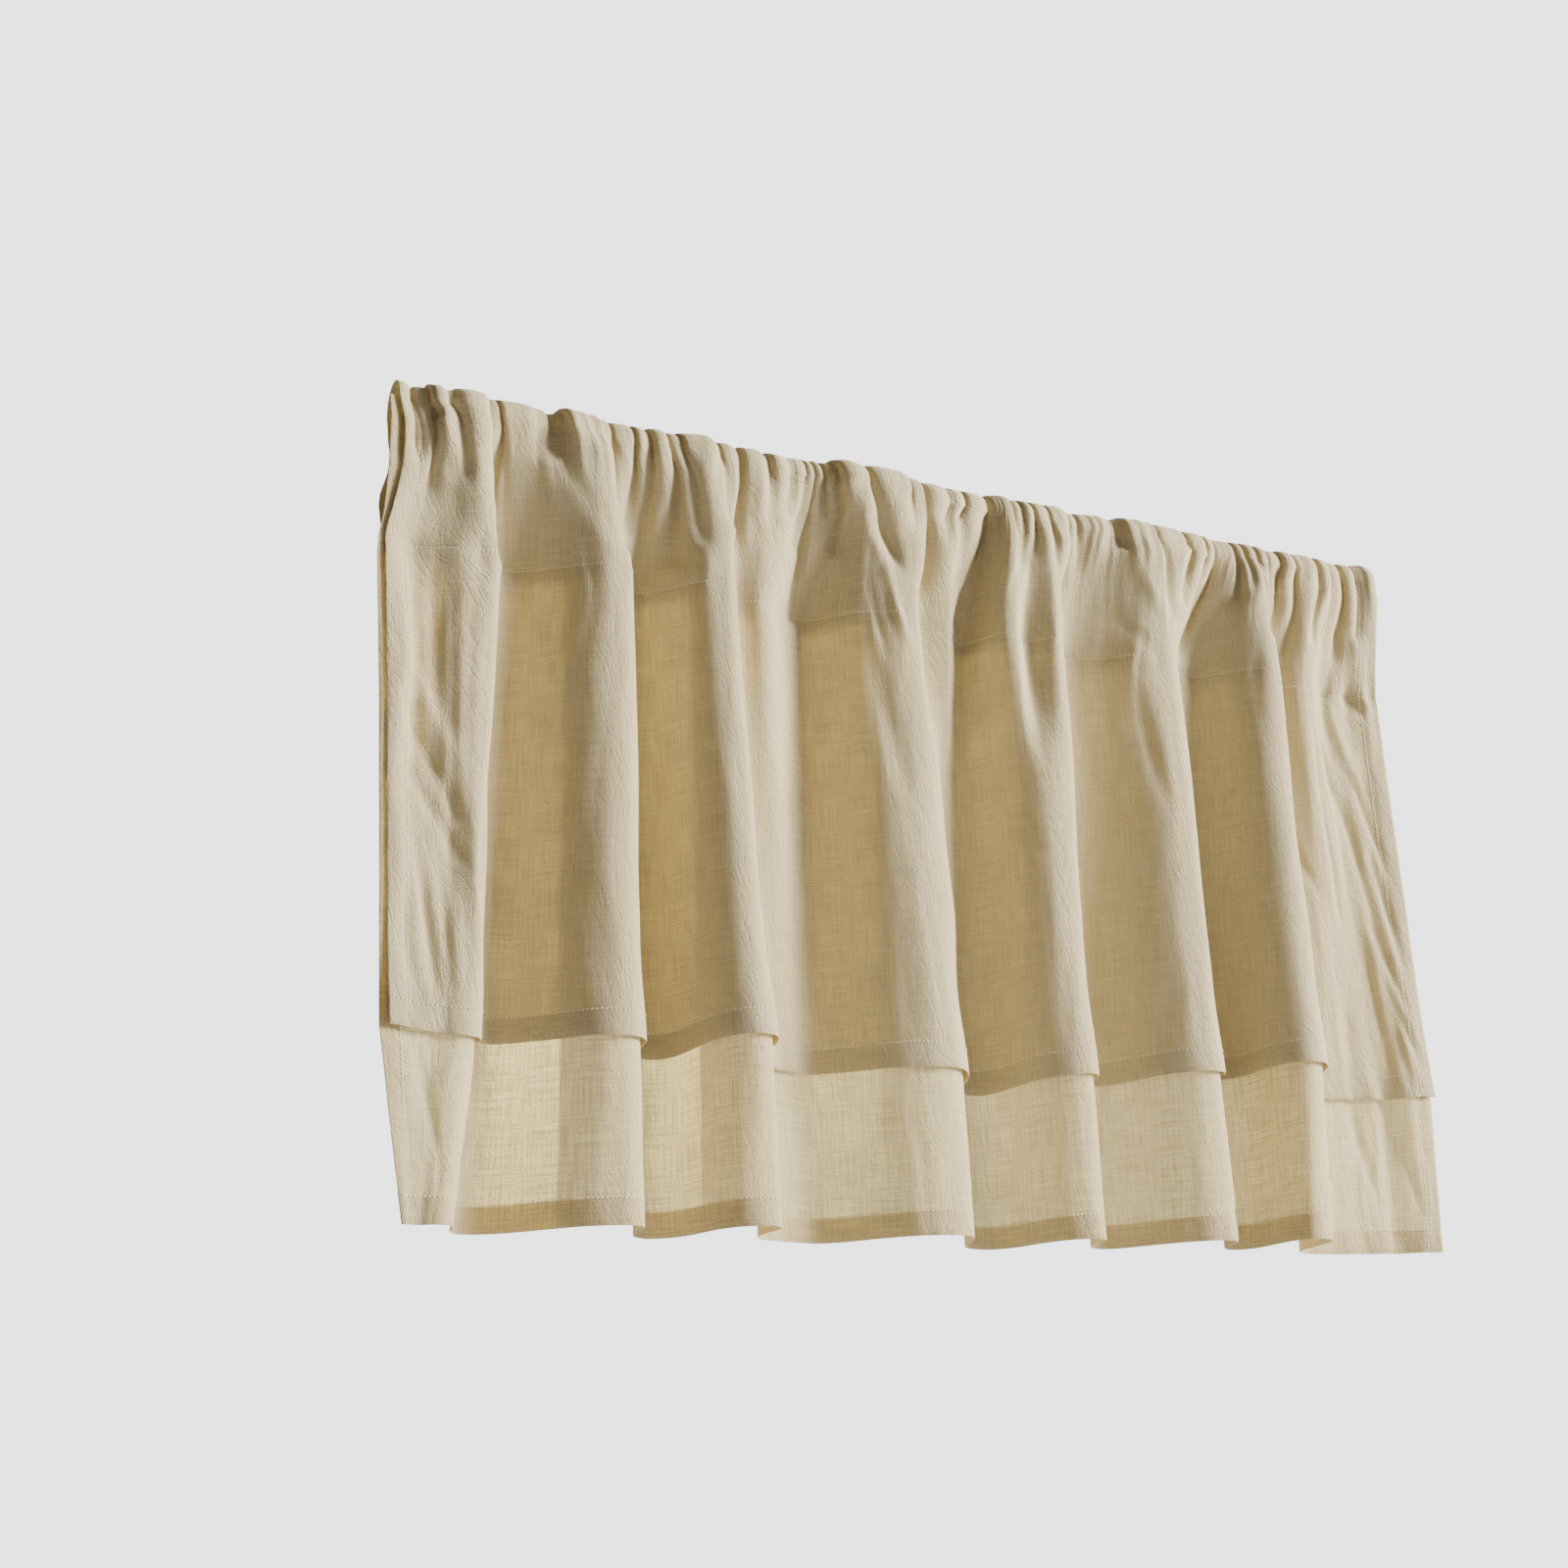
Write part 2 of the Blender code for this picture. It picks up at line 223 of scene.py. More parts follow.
FRONT_CREASES = tuple(
    Crease(*row)
    for row in (
        (-44.8, 23.0, -39.8, 34.0, 2.8, 2.5),
        (-44.0, 20.5, -40.4, 29.0, 3.0, -2.0),
        (-44.6, 28.0, -39.8, 36.0, 2.6, 2.1),
        (-43.2, 13.0, -43.8, 30.0, 2.6, 2.1),
        (-41.9, 13.0, -41.7, 27.0, 2.4, 2.1),
        (-40.6, 14.0, -41.4, 40.0, 2.4, 2.0),
        (-39.2, 14.0, -40.2, 30.0, 2.4, 1.5),
        (-43.8, 33.0, -42.4, 45.0, 2.4, 2.1),
        (-42.2, 34.0, -41.4, 45.0, 2.2, 1.8),
        (-33.6, 3.4, -30.4, 8.4, 4.0, 1.6),
        (-31.4, 8.8, -28.2, 12.2, 3.6, -1.6),
        (-8.2, 4.0, -5.2, 10.0, 3.2, -2.2),
        (-6.8, 3.5, -4.0, 9.5, 3.0, 2.0),
        (-5.6, 8.5, -3.9, 15.5, 3.0, -2.0),
        (-6.8, 9.5, -5.6, 16.5, 3.0, 1.8),
        (18.2, 4.5, 21.6, 9.6, 3.6, -1.8),
        (16.6, 8.6, 20.6, 12.4, 3.6, 1.6),
        (-6.8, 15.0, -5.0, 27.0, 7.0, 2.6),
        (4.1, 24.0, 8.8, 31.0, 3.4, 1.2),
        (18.1, 15.0, 19.7, 26.0, 5.0, 1.8),
        (34.6, 24.0, 37.2, 30.5, 3.0, 1.8),
        (37.7, 15.5, 38.5, 27.0, 2.6, 2.2),
        (38.4, 15.0, 41.0, 24.5, 2.8, 2.4),
        (38.3, 23.5, 39.2, 33.0, 2.6, 1.8),
        (40.6, 21.0, 42.8, 34.0, 2.8, 2.6),
        (41.3, 18.0, 44.4, 28.5, 2.6, 2.6),
        (42.0, 12.0, 44.8, 15.5, 3.0, 2.0),
        (42.6, 25.0, 44.6, 36.0, 2.6, 2.4),
        (42.0, 31.5, 44.6, 40.5, 2.6, 2.4),
        (42.7, 37.0, 45.4, 45.5, 2.6, 2.2),
        (41.2, 33.0, 42.6, 46.0, 2.6, 1.8),
        (43.1, 39.5, 43.9, 47.0, 2.4, 1.6),
        (39.8, 12.5, 42.4, 21.0, 3.0, -2.0),
    )
)

BACK_CREASES = tuple(
    Crease(*row)
    for row in (
        (23.5, 56.0, 32.6, 53.9, 3.4, 1.3),
        (20.2, 57.4, 23.8, 57.5, 3.2, 1.0),
        (-41.8, 55.0, -36.2, 54.6, 3.4, 1.1),
        (-44.0, 47.0, -42.6, 57.0, 2.6, 1.6),
        (38.6, 47.0, 40.4, 57.0, 3.0, 1.8),
        (41.8, 46.5, 43.6, 57.0, 2.8, 2.0),
    )
)


@dataclass(frozen=True)
class PocketSizes:
    """The rod pocket, in metres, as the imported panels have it.

    The pitches are the distances of the back tier and of the pocket's rear
    wall behind the front wall, where they hang close. pucker_reach is the room
    for the gathers around the arch, and line_half_depth how far the fold lines
    stand in or out at the rod.
    """

    cloth_thickness: float = 0.0010
    layer_pitch: float = 0.0018
    tail_pitch: float = 0.0046
    rod_space: float = 0.019
    line_half_depth: float = 0.0022
    pucker_reach: float = 0.0060
    seam_drop: float = 0.125
    tail_below_seam: float = 0.010
    narrowing: float = 1.2

    @property
    def arch_radius(self) -> float:
        """Radius of the middle of the cloth's arch over the rod."""
        inner = self.rod_space / 2 + self.layer_pitch + self.cloth_thickness
        return inner + self.pucker_reach

    @property
    def top_to_axis(self) -> float:
        """Height of the top edge above the rod space's axis."""
        return self.arch_radius + self.pucker_reach

    def half_width(self, drop: np.ndarray) -> np.ndarray:
        """How far a wall of the pocket stands from its middle.

        It is the arch's radius down to the underside of the rod space, and
        then falls to nothing at the seam as a power of the share left.

        Args:
            drop: Depths below the top edge, in metres.

        Returns:
            Half widths in metres, one for each depth.
        """
        stops = (self.top_to_axis + self.rod_space, self.seam_drop)
        return self.arch_radius * np.interp(drop, stops, (1.0, 0.0)) ** self.narrowing


@dataclass(frozen=True)
class TierLengths:
    """How far the two tiers and their hems reach below the top edge."""

    front: float = 0.469
    back: float = 0.594
    hem: float = 0.018
    side_hem: float = 0.014


@dataclass(frozen=True)
class GatherSizes:
    """How the gathers of the table are spread and leant, and how they fade.

    spread and lean are factors of the table's widths and leans. The rest shape
    a gather's lips, and how it widens and softens on its way down.
    """

    spread: float = 1.25
    spread_growth: float = 0.45
    lean: float = 2.1
    fade_power: float = 0.5
    sharpness: float = 3.0
    softening: float = 0.5
    farthest: float = 12.0


class NoiseCell(NamedTuple):
    """Size of a noise's cells across and down the cloth, in metres."""

    across: float
    down: float


@dataclass(frozen=True)
class CrinkleSizes:
    """The small folds of crumpled linen: cells and reaches in metres, leans in radians."""

    waver: float = 0.006
    waver_cell: NoiseCell = NoiseCell(0.03, 0.05)
    fine_lean: float = 0.13
    fine_cell: NoiseCell = NoiseCell(0.0065, 0.07)
    broad_lean: float = 0.10
    broad_cell: NoiseCell = NoiseCell(0.018, 0.12)
    ruffle_lean: float = 0.85
    ruffle_cell: NoiseCell = NoiseCell(0.0048, 0.04)
    ruffle_reach: float = 0.028
    side_gain: float = 1.6
    side_width: float = 0.06
    seam_gain: float = 1.3
    seam_reach: float = 0.014


POCKET = PocketSizes()
LENGTHS = TierLengths()
GATHERED = GatherSizes()
CRINKLED = CrinkleSizes()
NOISE_CELLS = 256
GROOVE_REACH = 0.0016


def smooth_share(value: np.ndarray) -> np.ndarray:
    """A share from 0 to 1 eased at both ends, as 3 t squared less 2 t cubed."""
    share = np.clip(value, 0.0, 1.0)
    return share * share * (3.0 - 2.0 * share)


def value_noise(across: np.ndarray, down: np.ndarray, seed: int) -> np.ndarray:
    """Smooth random values on a plane, between -1 and 1.

    Random numbers stand at whole coordinates, and the eased shares of each
    cell blend its four corners.

    Args:
        across: First coordinate of each point, in cells.
        down: Second coordinate of each point, in cells.
        seed: Seed of the random numbers.

    Returns:
        The value at each point.
    """
    grid = np.random.default_rng(seed).uniform(-1.0, 1.0, (NOISE_CELLS, NOISE_CELLS))
    left = np.floor(across).astype(int)
    top = np.floor(down).astype(int)
    right_share = smooth_share(across - left)
    low_share = smooth_share(down - top)
    corners = [
        grid[(top + i) % NOISE_CELLS, (left + j) % NOISE_CELLS] for i in (0, 1) for j in (0, 1)
    ]
    upper = corners[0] + (corners[1] - corners[0]) * right_share
    lower = corners[2] + (corners[3] - corners[2]) * right_share
    return upper + (lower - upper) * low_share


class SwingTable:
    """Run and rise of a strip of cloth that swings out to a steepest angle.

    The angle along the strip is the steepest one times the sine of pi times
    the share of the way, so the run is the mean cosine of the flat width and
    the rise is the mean sine.
    """

    largest_angle = 1.9
    angle_count = 400
    sample_count = 200

    def __init__(self) -> None:
        """Tabulate run and rise of a strip of unit width."""
        self.angle = np.linspace(0.0, self.largest_angle, self.angle_count)
        phase = np.pi * (np.arange(self.sample_count) + 0.5) / self.sample_count
        lean = self.angle[:, None] * np.sin(phase)[None, :]
        self.run = np.cos(lean).mean(axis=1)
        self.rise = np.sin(lean).mean(axis=1)

    def steepest(self, run: np.ndarray, rise: np.ndarray) -> np.ndarray:
        """Steepest angle of strips with these runs and rises, with its sign."""
        ratio = np.abs(rise) / run
        return np.sign(rise) * np.interp(ratio, self.rise / self.run, self.angle)

    def width(self, run: np.ndarray, rise: np.ndarray) -> np.ndarray:
        """Flat width of strips with these runs and rises."""
        angle = np.abs(self.steepest(run, rise))
        return run / np.interp(angle, self.angle, self.run)


def softened(values: np.ndarray, reach: int) -> np.ndarray:
    """Running means along the rows, as differences of their running sums.

    Args:
        values: The values, rows by columns.
        reach: How many columns to each side a mean takes in.

    Returns:
        The means, rows by columns.
    """
    padded = np.pad(values, ((0, 0), (reach + 1, reach)), mode="edge")
    total = np.cumsum(padded, axis=1)
    return (total[:, 2 * reach + 1:] - total[:, :-2 * reach - 1]) / (2 * reach + 1)


class FoldPlan:
    """The cloth's curve in plan at any height, on one set of columns.

    The strips between fold lines are cut into segments, with a column of
    points at each end of every segment. line_x and line_y hold the fold lines
    at the rod, the seam, the front hem and the foot, and flat holds each
    column's place on the flat cloth.
    """

    soft_width = 0.003

    def __init__(self, spacing: float) -> None:
        """Lay the columns out.

        Args:
            spacing: Flat distance between columns, in metres.
        """
        self.soft_reach = max(1, round(self.soft_width / spacing))
        table = CM * np.array([line[1:] for line in FOLD_LINES])
        top_x, seam_x, seam_y, hem_x, hem_y, foot_x, front_drop = table.T
        rod_y = np.sign(seam_y) * POCKET.line_half_depth
        self.line_x = np.array([top_x, seam_x, hem_x, foot_x])
        self.line_y = np.array([rod_y, seam_y, hem_y, hem_y])
        self.line_drop = front_drop
        self.swing = SwingTable()
        runs = np.diff(self.line_x, axis=1)
        rises = np.diff(self.line_y, axis=1)
        widths = self.swing.width(runs, rises)[2]
        self.counts = np.maximum(3, np.ceil(widths / spacing)).astype(int)
        self.starts = np.append(0, np.cumsum(self.counts)[:-1])
        self.strip = np.repeat(np.arange(len(widths)), self.counts)
        place = np.arange(len(self.strip)) - self.starts[self.strip]
        names = [line.name for line in FOLD_LINES]
        self.merged = [(names.index(first), names.index(last)) for first, last in MERGED_FOLDS]
        power = np.array([STEEP_EARLY.get(line.name, 1.0) for line in FOLD_LINES[:-1]])
        self.steep_share = ((place + 0.5) / self.counts[self.strip]) ** power[self.strip]
        self.share = np.append(place / self.counts[self.strip], 1.0)
        self.column_strip = np.append(self.strip, len(widths) - 1)
        step = widths[self.strip] / self.counts[self.strip]
        self.flat = np.append(0.0, np.cumsum(step))

    @property
    def flat_width(self) -> float:
        """Width of the cut cloth, in metres."""
        return float(self.flat[-1])

    def eased(self, values: np.ndarray) -> np.ndarray:
        """Values at the fold lines, eased by a half cosine to every column.

        Args:
            values: Values with the fold lines on the last axis.

        Returns:
            The values with the columns on the last axis.
        """
        ease = (1.0 - np.cos(np.pi * self.share)) / 2.0
        low = values[..., self.column_strip]
        high = values[..., self.column_strip + 1]
        return low + (high - low) * ease

    def weights(self, drop: np.ndarray) -> np.ndarray:
        """How much each level of the fold table counts at each depth.

        Below the rod the folds open as a power of the way to the seam. From
        there on, the levels blend in straight lines.

        Args:
            drop: Depths below the top edge.

        Returns:
            Shares of the four levels, depths by levels.
        """
        stops = (POCKET.top_to_axis, POCKET.seam_drop, LENGTHS.front, LENGTHS.back)
        to_seam = stops[1] - stops[0]
        way = np.clip((drop - stops[0]) / to_seam, 0.0, 1.0) ** OPENING_POWER
        opened = np.where(drop < stops[1], stops[0] + to_seam * way, drop)
        return np.array([np.interp(opened, stops, row) for row in np.eye(4)]).T

    def merged_share(self, drop: np.ndarray) -> np.ndarray:
        """How far the merged folds have become one at each depth, as a column."""
        return smooth_share((drop - MERGE_FROM) / MERGE_OVER)[:, None]

    def fallen_together(
        self, lean: np.ndarray, line_x: np.ndarray, line_y: np.ndarray, drop: np.ndarray
    ) -> np.ndarray:
        """Leans in which the merged folds become one swing lower down.

        Between the first and the last line of each, the lean goes over to the
        steepest angle of the whole times the sine of pi times its flat share.

        Args:
            lean: Angles of the separate strips, rows by segments.
            line_x: The fold lines' x, rows by lines.
            line_y: The fold lines' y, rows by lines.
            drop: Depth of each row.

        Returns:
            The new angles.
        """
        middle = (self.flat[1:] + self.flat[:-1]) / 2.0
        whole = lean.copy()
        for first, last in self.merged:
            start, end = self.starts[first], self.starts[last]
            run = line_x[:, last] - line_x[:, first]
            rise = line_y[:, last] - line_y[:, first]
            way = (middle[start:end] - self.flat[start]) / (self.flat[end] - self.flat[start])
            way = way ** STEEP_EARLY.get(FOLD_LINES[first].name, 1.0)
            whole[:, start:end] = self.swing.steepest(run, rise)[:, None] * np.sin(np.pi * way)
        return lean + self.merged_share(drop) * (whole - lean)

    def matched(
        self,
        step_x: np.ndarray,
        step_y: np.ndarray,
        run: np.ndarray,
        rise: np.ndarray,
        drop: np.ndarray,
    ) -> tuple[np.ndarray, np.ndarray]:
        """Steps brought back to the fold lines.

        Each strip's x steps are scaled to its run, and what its y steps lack
        of its rise is shared out evenly. Merged folds do so as one strip.

        Args:
            step_x: Steps in x, rows by segments.
            step_y: Steps in y, rows by segments.
            run: Runs of the strips, rows by strips.
            rise: Rises of the strips, rows by strips.
            drop: Depth of each row.

        Returns:
            The new steps in x and in y.
        """
        sum_x = np.add.reduceat(step_x, self.starts, axis=1)
        lack = rise - np.add.reduceat(step_y, self.starts, axis=1)
        scale = run / sum_x
        spare = lack / self.counts
        share = self.merged_share(drop)
        for first, last in self.merged:
            part = slice(first, last)
            one_scale = run[:, part].sum(axis=1) / sum_x[:, part].sum(axis=1)
            one_spare = lack[:, part].sum(axis=1) / self.counts[part].sum()
            scale[:, part] += share * (one_scale[:, None] - scale[:, part])
            spare[:, part] += share * (one_spare[:, None] - spare[:, part])
        return step_x * scale[:, self.strip], step_y + spare[:, self.strip]

    def gather_lean(self, x: np.ndarray, drop: np.ndarray) -> np.ndarray:
        """Angle that the gathers add to the cloth.

        A gather is a narrow pleat with rounded lips: it adds its lean times
        minus tanh(s t) over cosh(t), where t is the distance from its line in
        half widths and s its sharpness. It fades and softens as it runs down.

        Args:
            x: Place along the rod of each point, rows by columns.
            drop: Depth of each row below the top edge.

        Returns:
            Angles in radians, rows by columns.
        """
        table = np.array(GATHERS)
        top_x, end_x, end_drop = (CM * table[:, :3]).T
        width = MM * table[:, 3]
        reach = end_drop - POCKET.top_to_axis
        share = np.clip((drop[:, None] - POCKET.top_to_axis) / reach, 0.0, 1.0)
        centre = top_x + (end_x - top_x) * share
        spread = GATHERED.spread * width * (1.0 + GATHERED.spread_growth * share)
        lean = GATHERED.lean * table[:, 4] * (1.0 - share) ** GATHERED.fade_power
        sharp = GATHERED.sharpness * (1.0 - GATHERED.softening * share)
        total = np.zeros_like(x)
        for k in range(len(GATHERS)):
            away = (x - centre[:, k, None]) / spread[:, k, None]
            away = np.clip(away, -GATHERED.farthest, GATHERED.farthest)
            bump = -np.tanh(sharp[:, k, None] * away) / np.cosh(away)
            total += lean[:, k, None] * bump
        return total

    def crinkle_lean(self, drop: np.ndarray, seed: int) -> np.ndarray:
        """Small random angles of the crumpled cloth.

        They are the sum of three smooth noises on wavering lines: a fine one
        that grows as a bell curve at the seam, a broad one, and a ruffle that
        falls off exponentially below the rod. The first two grow at the sides.

        Args:
            drop: Depth of each row below the top edge.
            seed: Seed of the noises.

        Returns:
            Angles in radians, rows by segments.
        """
        flat = (self.flat[1:] + self.flat[:-1]) / 2.0
        across, down = np.meshgrid(flat, drop)
        sizes = CRINKLED

        def noise(place: np.ndarray, cell: NoiseCell, step: int) -> np.ndarray:
            """The noise of one cell size, with a seed of its own."""
            return value_noise(place / cell.across, down / cell.down, seed + step)

        bent = across + sizes.waver * noise(across, sizes.waver_cell, 1)
        fine = sizes.fine_lean * noise(bent, sizes.fine_cell, 2)
        broad = sizes.broad_lean * noise(bent, sizes.broad_cell, 3)
        ruffle = sizes.ruffle_lean * noise(bent, sizes.ruffle_cell, 4)
        edge = np.minimum(flat, self.flat_width - flat)
        inner = smooth_share((edge - sizes.side_width) / sizes.side_width)
        side = 1.0 + sizes.side_gain * (1.0 - inner)
        seam = (drop - POCKET.seam_drop) / sizes.seam_reach
        pulled = 1.0 + sizes.seam_gain * np.exp(-seam * seam)[:, None]
        below_rod = np.exp(-(drop - POCKET.top_to_axis) / sizes.ruffle_reach)[:, None]
        return (fine * pulled + broad) * side[None, :] + ruffle * below_rod

    def rows(self, drop: np.ndarray, seed: int) -> tuple[np.ndarray, np.ndarray, np.ndarray]:
        """Plan curves at several depths.

        Along a row, the cloth's angle is the swing of its strip, plus the
        gathers, plus the crinkles. The curve is the running sum of the flat
        steps turned by that angle, brought back to the fold lines.

        Args:
            drop: Depth of each row below the top edge.
            seed: Seed of the crinkles.

        Returns:
            x, y and the main folds' y, each rows by columns.
        """
        weights = self.weights(drop)
        line_x = weights @ self.line_x
        line_y = weights @ self.line_y
        main_y = weights[:, 1:] @ self.line_y[1:]
        run = np.diff(line_x, axis=1)
        rise = np.diff(line_y, axis=1)
        steepest = self.swing.steepest(run, rise)[:, self.strip]
        step = (self.swing.width(run, rise) / self.counts)[:, self.strip]
        lean = steepest * np.sin(np.pi * self.steep_share)
        lean = self.fallen_together(lean, line_x, line_y, drop)
        lean = softened(softened(lean, self.soft_reach), self.soft_reach)
        plain_step = step * np.cos(lean)
        plain_x = line_x[:, :1] + np.cumsum(plain_step, axis=1) - plain_step / 2.0
        lean = lean + self.gather_lean(plain_x, drop) + self.crinkle_lean(drop, seed)
        lean = np.clip(lean, -STEEPEST_LEAN, STEEPEST_LEAN)
        step_x = step * np.cos(lean)
        step_y = step * np.sin(lean)
        step_x, step_y = self.matched(step_x, step_y, run, rise, drop)
        x = np.hstack([line_x[:, :1], line_x[:, :1] + np.cumsum(step_x, axis=1)])
        y = np.hstack([line_y[:, :1], line_y[:, :1] + np.cumsum(step_y, axis=1)])
        return x, y, self.eased(main_y)


def beside(x: np.ndarray, y: np.ndarray, distance: float) -> tuple[np.ndarray, np.ndarray]:
    """Curves that run behind others, parallel to them.

    Each point moves along the bisector of its two neighbouring segments'
    normals, by the distance over the cosine of half the turn. At sharp turns
    the cosine is held at a least value.

    Args:
        x: First coordinates, rows by columns.
        y: Second coordinates, rows by columns.
        distance: How far behind the curves run.

    Returns:
        The new x and y.
    """
    ahead = np.stack([np.diff(x, axis=1), np.diff(y, axis=1)], axis=2)
    ahead /= np.linalg.norm(ahead, axis=2, keepdims=True)
    before = np.concatenate([ahead[:, :1], ahead], axis=1)
    after = np.concatenate([ahead, ahead[:, -1:]], axis=1)
    middle = before + after
    middle /= np.linalg.norm(middle, axis=2, keepdims=True)
    least_cosine = 0.6
    reach = distance / np.maximum((middle * after).sum(axis=2), least_cosine)
    return x - middle[..., 1] * reach, y + middle[..., 0] * reach


def unit(vectors: np.ndarray) -> np.ndarray:
    """Vectors on the last axis brought to length 1, safe for one of length 0."""
    return vectors / (np.linalg.norm(vectors, axis=2, keepdims=True) + 1e-12)


def directions(points: np.ndarray) -> tuple[np.ndarray, np.ndarray, np.ndarray]:
    """Unit vectors across, down and out of a grid of points.

    The first two are the grid's central differences, and the outward one is
    the cross product of the downward and the across one.

    Args:
        points: The grid, rows by columns by 3.

    Returns:
        The vectors across, down and out, each of the grid's shape.
    """
    across = unit(np.gradient(points, axis=1))
    down = unit(np.gradient(points, axis=0))
    return across, down, unit(np.cross(down, across))


@dataclass
class Cloth:
    """A grid of points with the flat place of each row and column."""

    points: np.ndarray
    across: np.ndarray
    along: np.ndarray

    turn_step: ClassVar[float] = 0.0003
    turn_shares: ClassVar[tuple[float, float]] = (0.25, 0.75)
    turn_bulge: ClassVar[float] = 0.4

    def raised(self, height: np.ndarray) -> "Cloth":
        """The same cloth with each point moved out by a height."""
        out = directions(self.points)[2]
        return Cloth(self.points + out * height[..., None], self.across, self.along)

    def hemmed(self, foot: float, side: float, gap: float) -> "Cloth":
        """The cloth with its foot and both sides turned in behind it.

        The turned cloth repeats the rows and columns near the edge in
        reverse, one gap further in for each hem that covers the place. Two
        rows or columns between them round the fold itself.

        Args:
            foot: Depth of the hem at the foot.
            side: Width of the hems at the sides.
            gap: Distance between the layers.

        Returns:
            The cloth with the turned rows and columns added.
        """
        across, down, out = directions(self.points)
        row_count, column_count = self.points.shape[:2]
        spare = self.turn_step / 3.0
        tail = int((self.along[-1] - self.along < foot + spare).sum())
        left = int((self.across - self.across[0] < side + spare).sum())
        right = int((self.across[-1] - self.across < side + spare).sum())
        last_row, last_column = row_count - 1, column_count - 1
        turn = gap * np.array(self.turn_shares)
        bulge = np.full(2, gap * self.turn_bulge)
        low = last_row - np.arange(tail)
        first = np.arange(left)[::-1]
        final = last_column - np.arange(right)

        rows = np.concatenate([np.arange(row_count), [last_row] * 2, low])
        row_in = np.concatenate([np.zeros(row_count), turn, np.full(tail, gap)])
        row_out = np.concatenate([np.zeros(row_count), bulge, np.zeros(tail)])
        middle = np.arange(column_count)
        columns = np.concatenate([first, [0] * 2, middle, [last_column] * 2, final])
        plain = np.zeros(column_count)
        column_in = np.concatenate([np.full(left, gap), turn[::-1], plain, turn, np.full(right, gap)])
        column_out = np.concatenate([np.zeros(left), -bulge, plain, bulge, np.zeros(right)])

        pick = np.ix_(rows, columns)
        depth = (row_in[:, None] + column_in[None, :])[..., None]
        points = self.points[pick] - out[pick] * depth
        points += down[pick] * row_out[:, None, None]
        points += across[pick] * column_out[None, :, None]

        rounded = self.turn_step * np.array([1.0, 2.0])
        past = self.turn_step * 3.0
        foot_end, left_end, right_end = self.along[-1], self.across[0], self.across[-1]
        along = np.concatenate(
            [self.along, foot_end + rounded, foot_end + past + (foot_end - self.along[low])]
        )
        flat = np.concatenate([
            left_end - past - (self.across[first] - left_end),
            left_end - rounded[::-1],
            self.across,
            right_end + rounded,
            right_end + past + (right_end - self.across[final]),
        ])
        return Cloth(points, flat, along)


def grid_object(name: str, cloth: Cloth) -> bpy.types.Object:
    """A mesh object through a grid of points, with its flat place as its UV map.

    Args:
        name: Name of the object and its mesh.
        cloth: The grid.

    Returns:
        The new object, in the scene.
    """
    row_count, column_count = cloth.points.shape[:2]
    index = np.arange(row_count * column_count).reshape(row_count, column_count)
    quads = np.stack(
        [index[:-1, :-1], index[1:, :-1], index[1:, 1:], index[:-1, 1:]], axis=2
    ).reshape(-1, 4)
    mesh = bpy.data.meshes.new(name)
    mesh.vertices.add(index.size)
    mesh.vertices.foreach_set("co", cloth.points.astype(np.float32).ravel())
    mesh.loops.add(quads.size)
    mesh.loops.foreach_set("vertex_index", quads.astype(np.int32).ravel())
    mesh.polygons.add(len(quads))
    mesh.polygons.foreach_set("loop_start", np.arange(0, quads.size, 4, dtype=np.int32))
    mesh.update(calc_edges=True)
    places = np.stack(np.meshgrid(cloth.across, -cloth.along), axis=2).reshape(-1, 2)
    layer = mesh.uv_layers.new(name="flat_cloth")
    layer.data.foreach_set("uv", places[quads.ravel()].astype(np.float32).ravel())
    mesh.validate()
    mesh.shade_smooth()
    piece = bpy.data.objects.new(name, mesh)
    bpy.context.scene.collection.objects.link(piece)
    return piece


def crease_height(
    creases: Sequence[Crease], plan: FoldPlan, x: np.ndarray, drop: np.ndarray
) -> np.ndarray:
    """Height of the pressed creases over the cloth.

    Across a crease the depth falls off as a bell curve of the flat distance
    from its line, and along it as a power of the sine of the way.

    Args:
        creases: The creases.
        plan: The fold plan, for the columns' flat places.
        x: Place along the rod of each point, rows by columns.
        drop: Depth of each row.

    Returns:
        Heights in metres, rows by columns.
    """
    taper_power = 0.7
    height = np.zeros_like(x)
    for crease in creases:
        ends = []
        for place, depth in ((crease.from_x, crease.from_drop), (crease.to_x, crease.to_drop)):
            row = int(np.abs(drop - CM * depth).argmin())
            ends.append((np.interp(CM * place, x[row], plan.flat), CM * depth))
        (start_s, start_d), (end_s, end_d) = ends
        length = math.hypot(end_s - start_s, end_d - start_d)
        unit_s, unit_d = (end_s - start_s) / length, (end_d - start_d) / length
        off_s = plan.flat[None, :] - start_s
        off_d = drop[:, None] - start_d
        way = (off_s * unit_s + off_d * unit_d) / length
        side = (off_s * unit_d - off_d * unit_s) / (MM * crease.width)
        taper = np.sin(np.pi * np.clip(way, 0.0, 1.0)) ** taper_power
        height -= MM * crease.depth * taper * np.exp(-side * side / 2.0)
    return height


def stitch_groove(drop: np.ndarray, line: float, depth: float) -> np.ndarray:
    """Height of the groove that a row of stitches pulls, as a bell curve."""
    away = (drop - line) / GROOVE_REACH
    return -depth * np.exp(-away * away / 2.0)


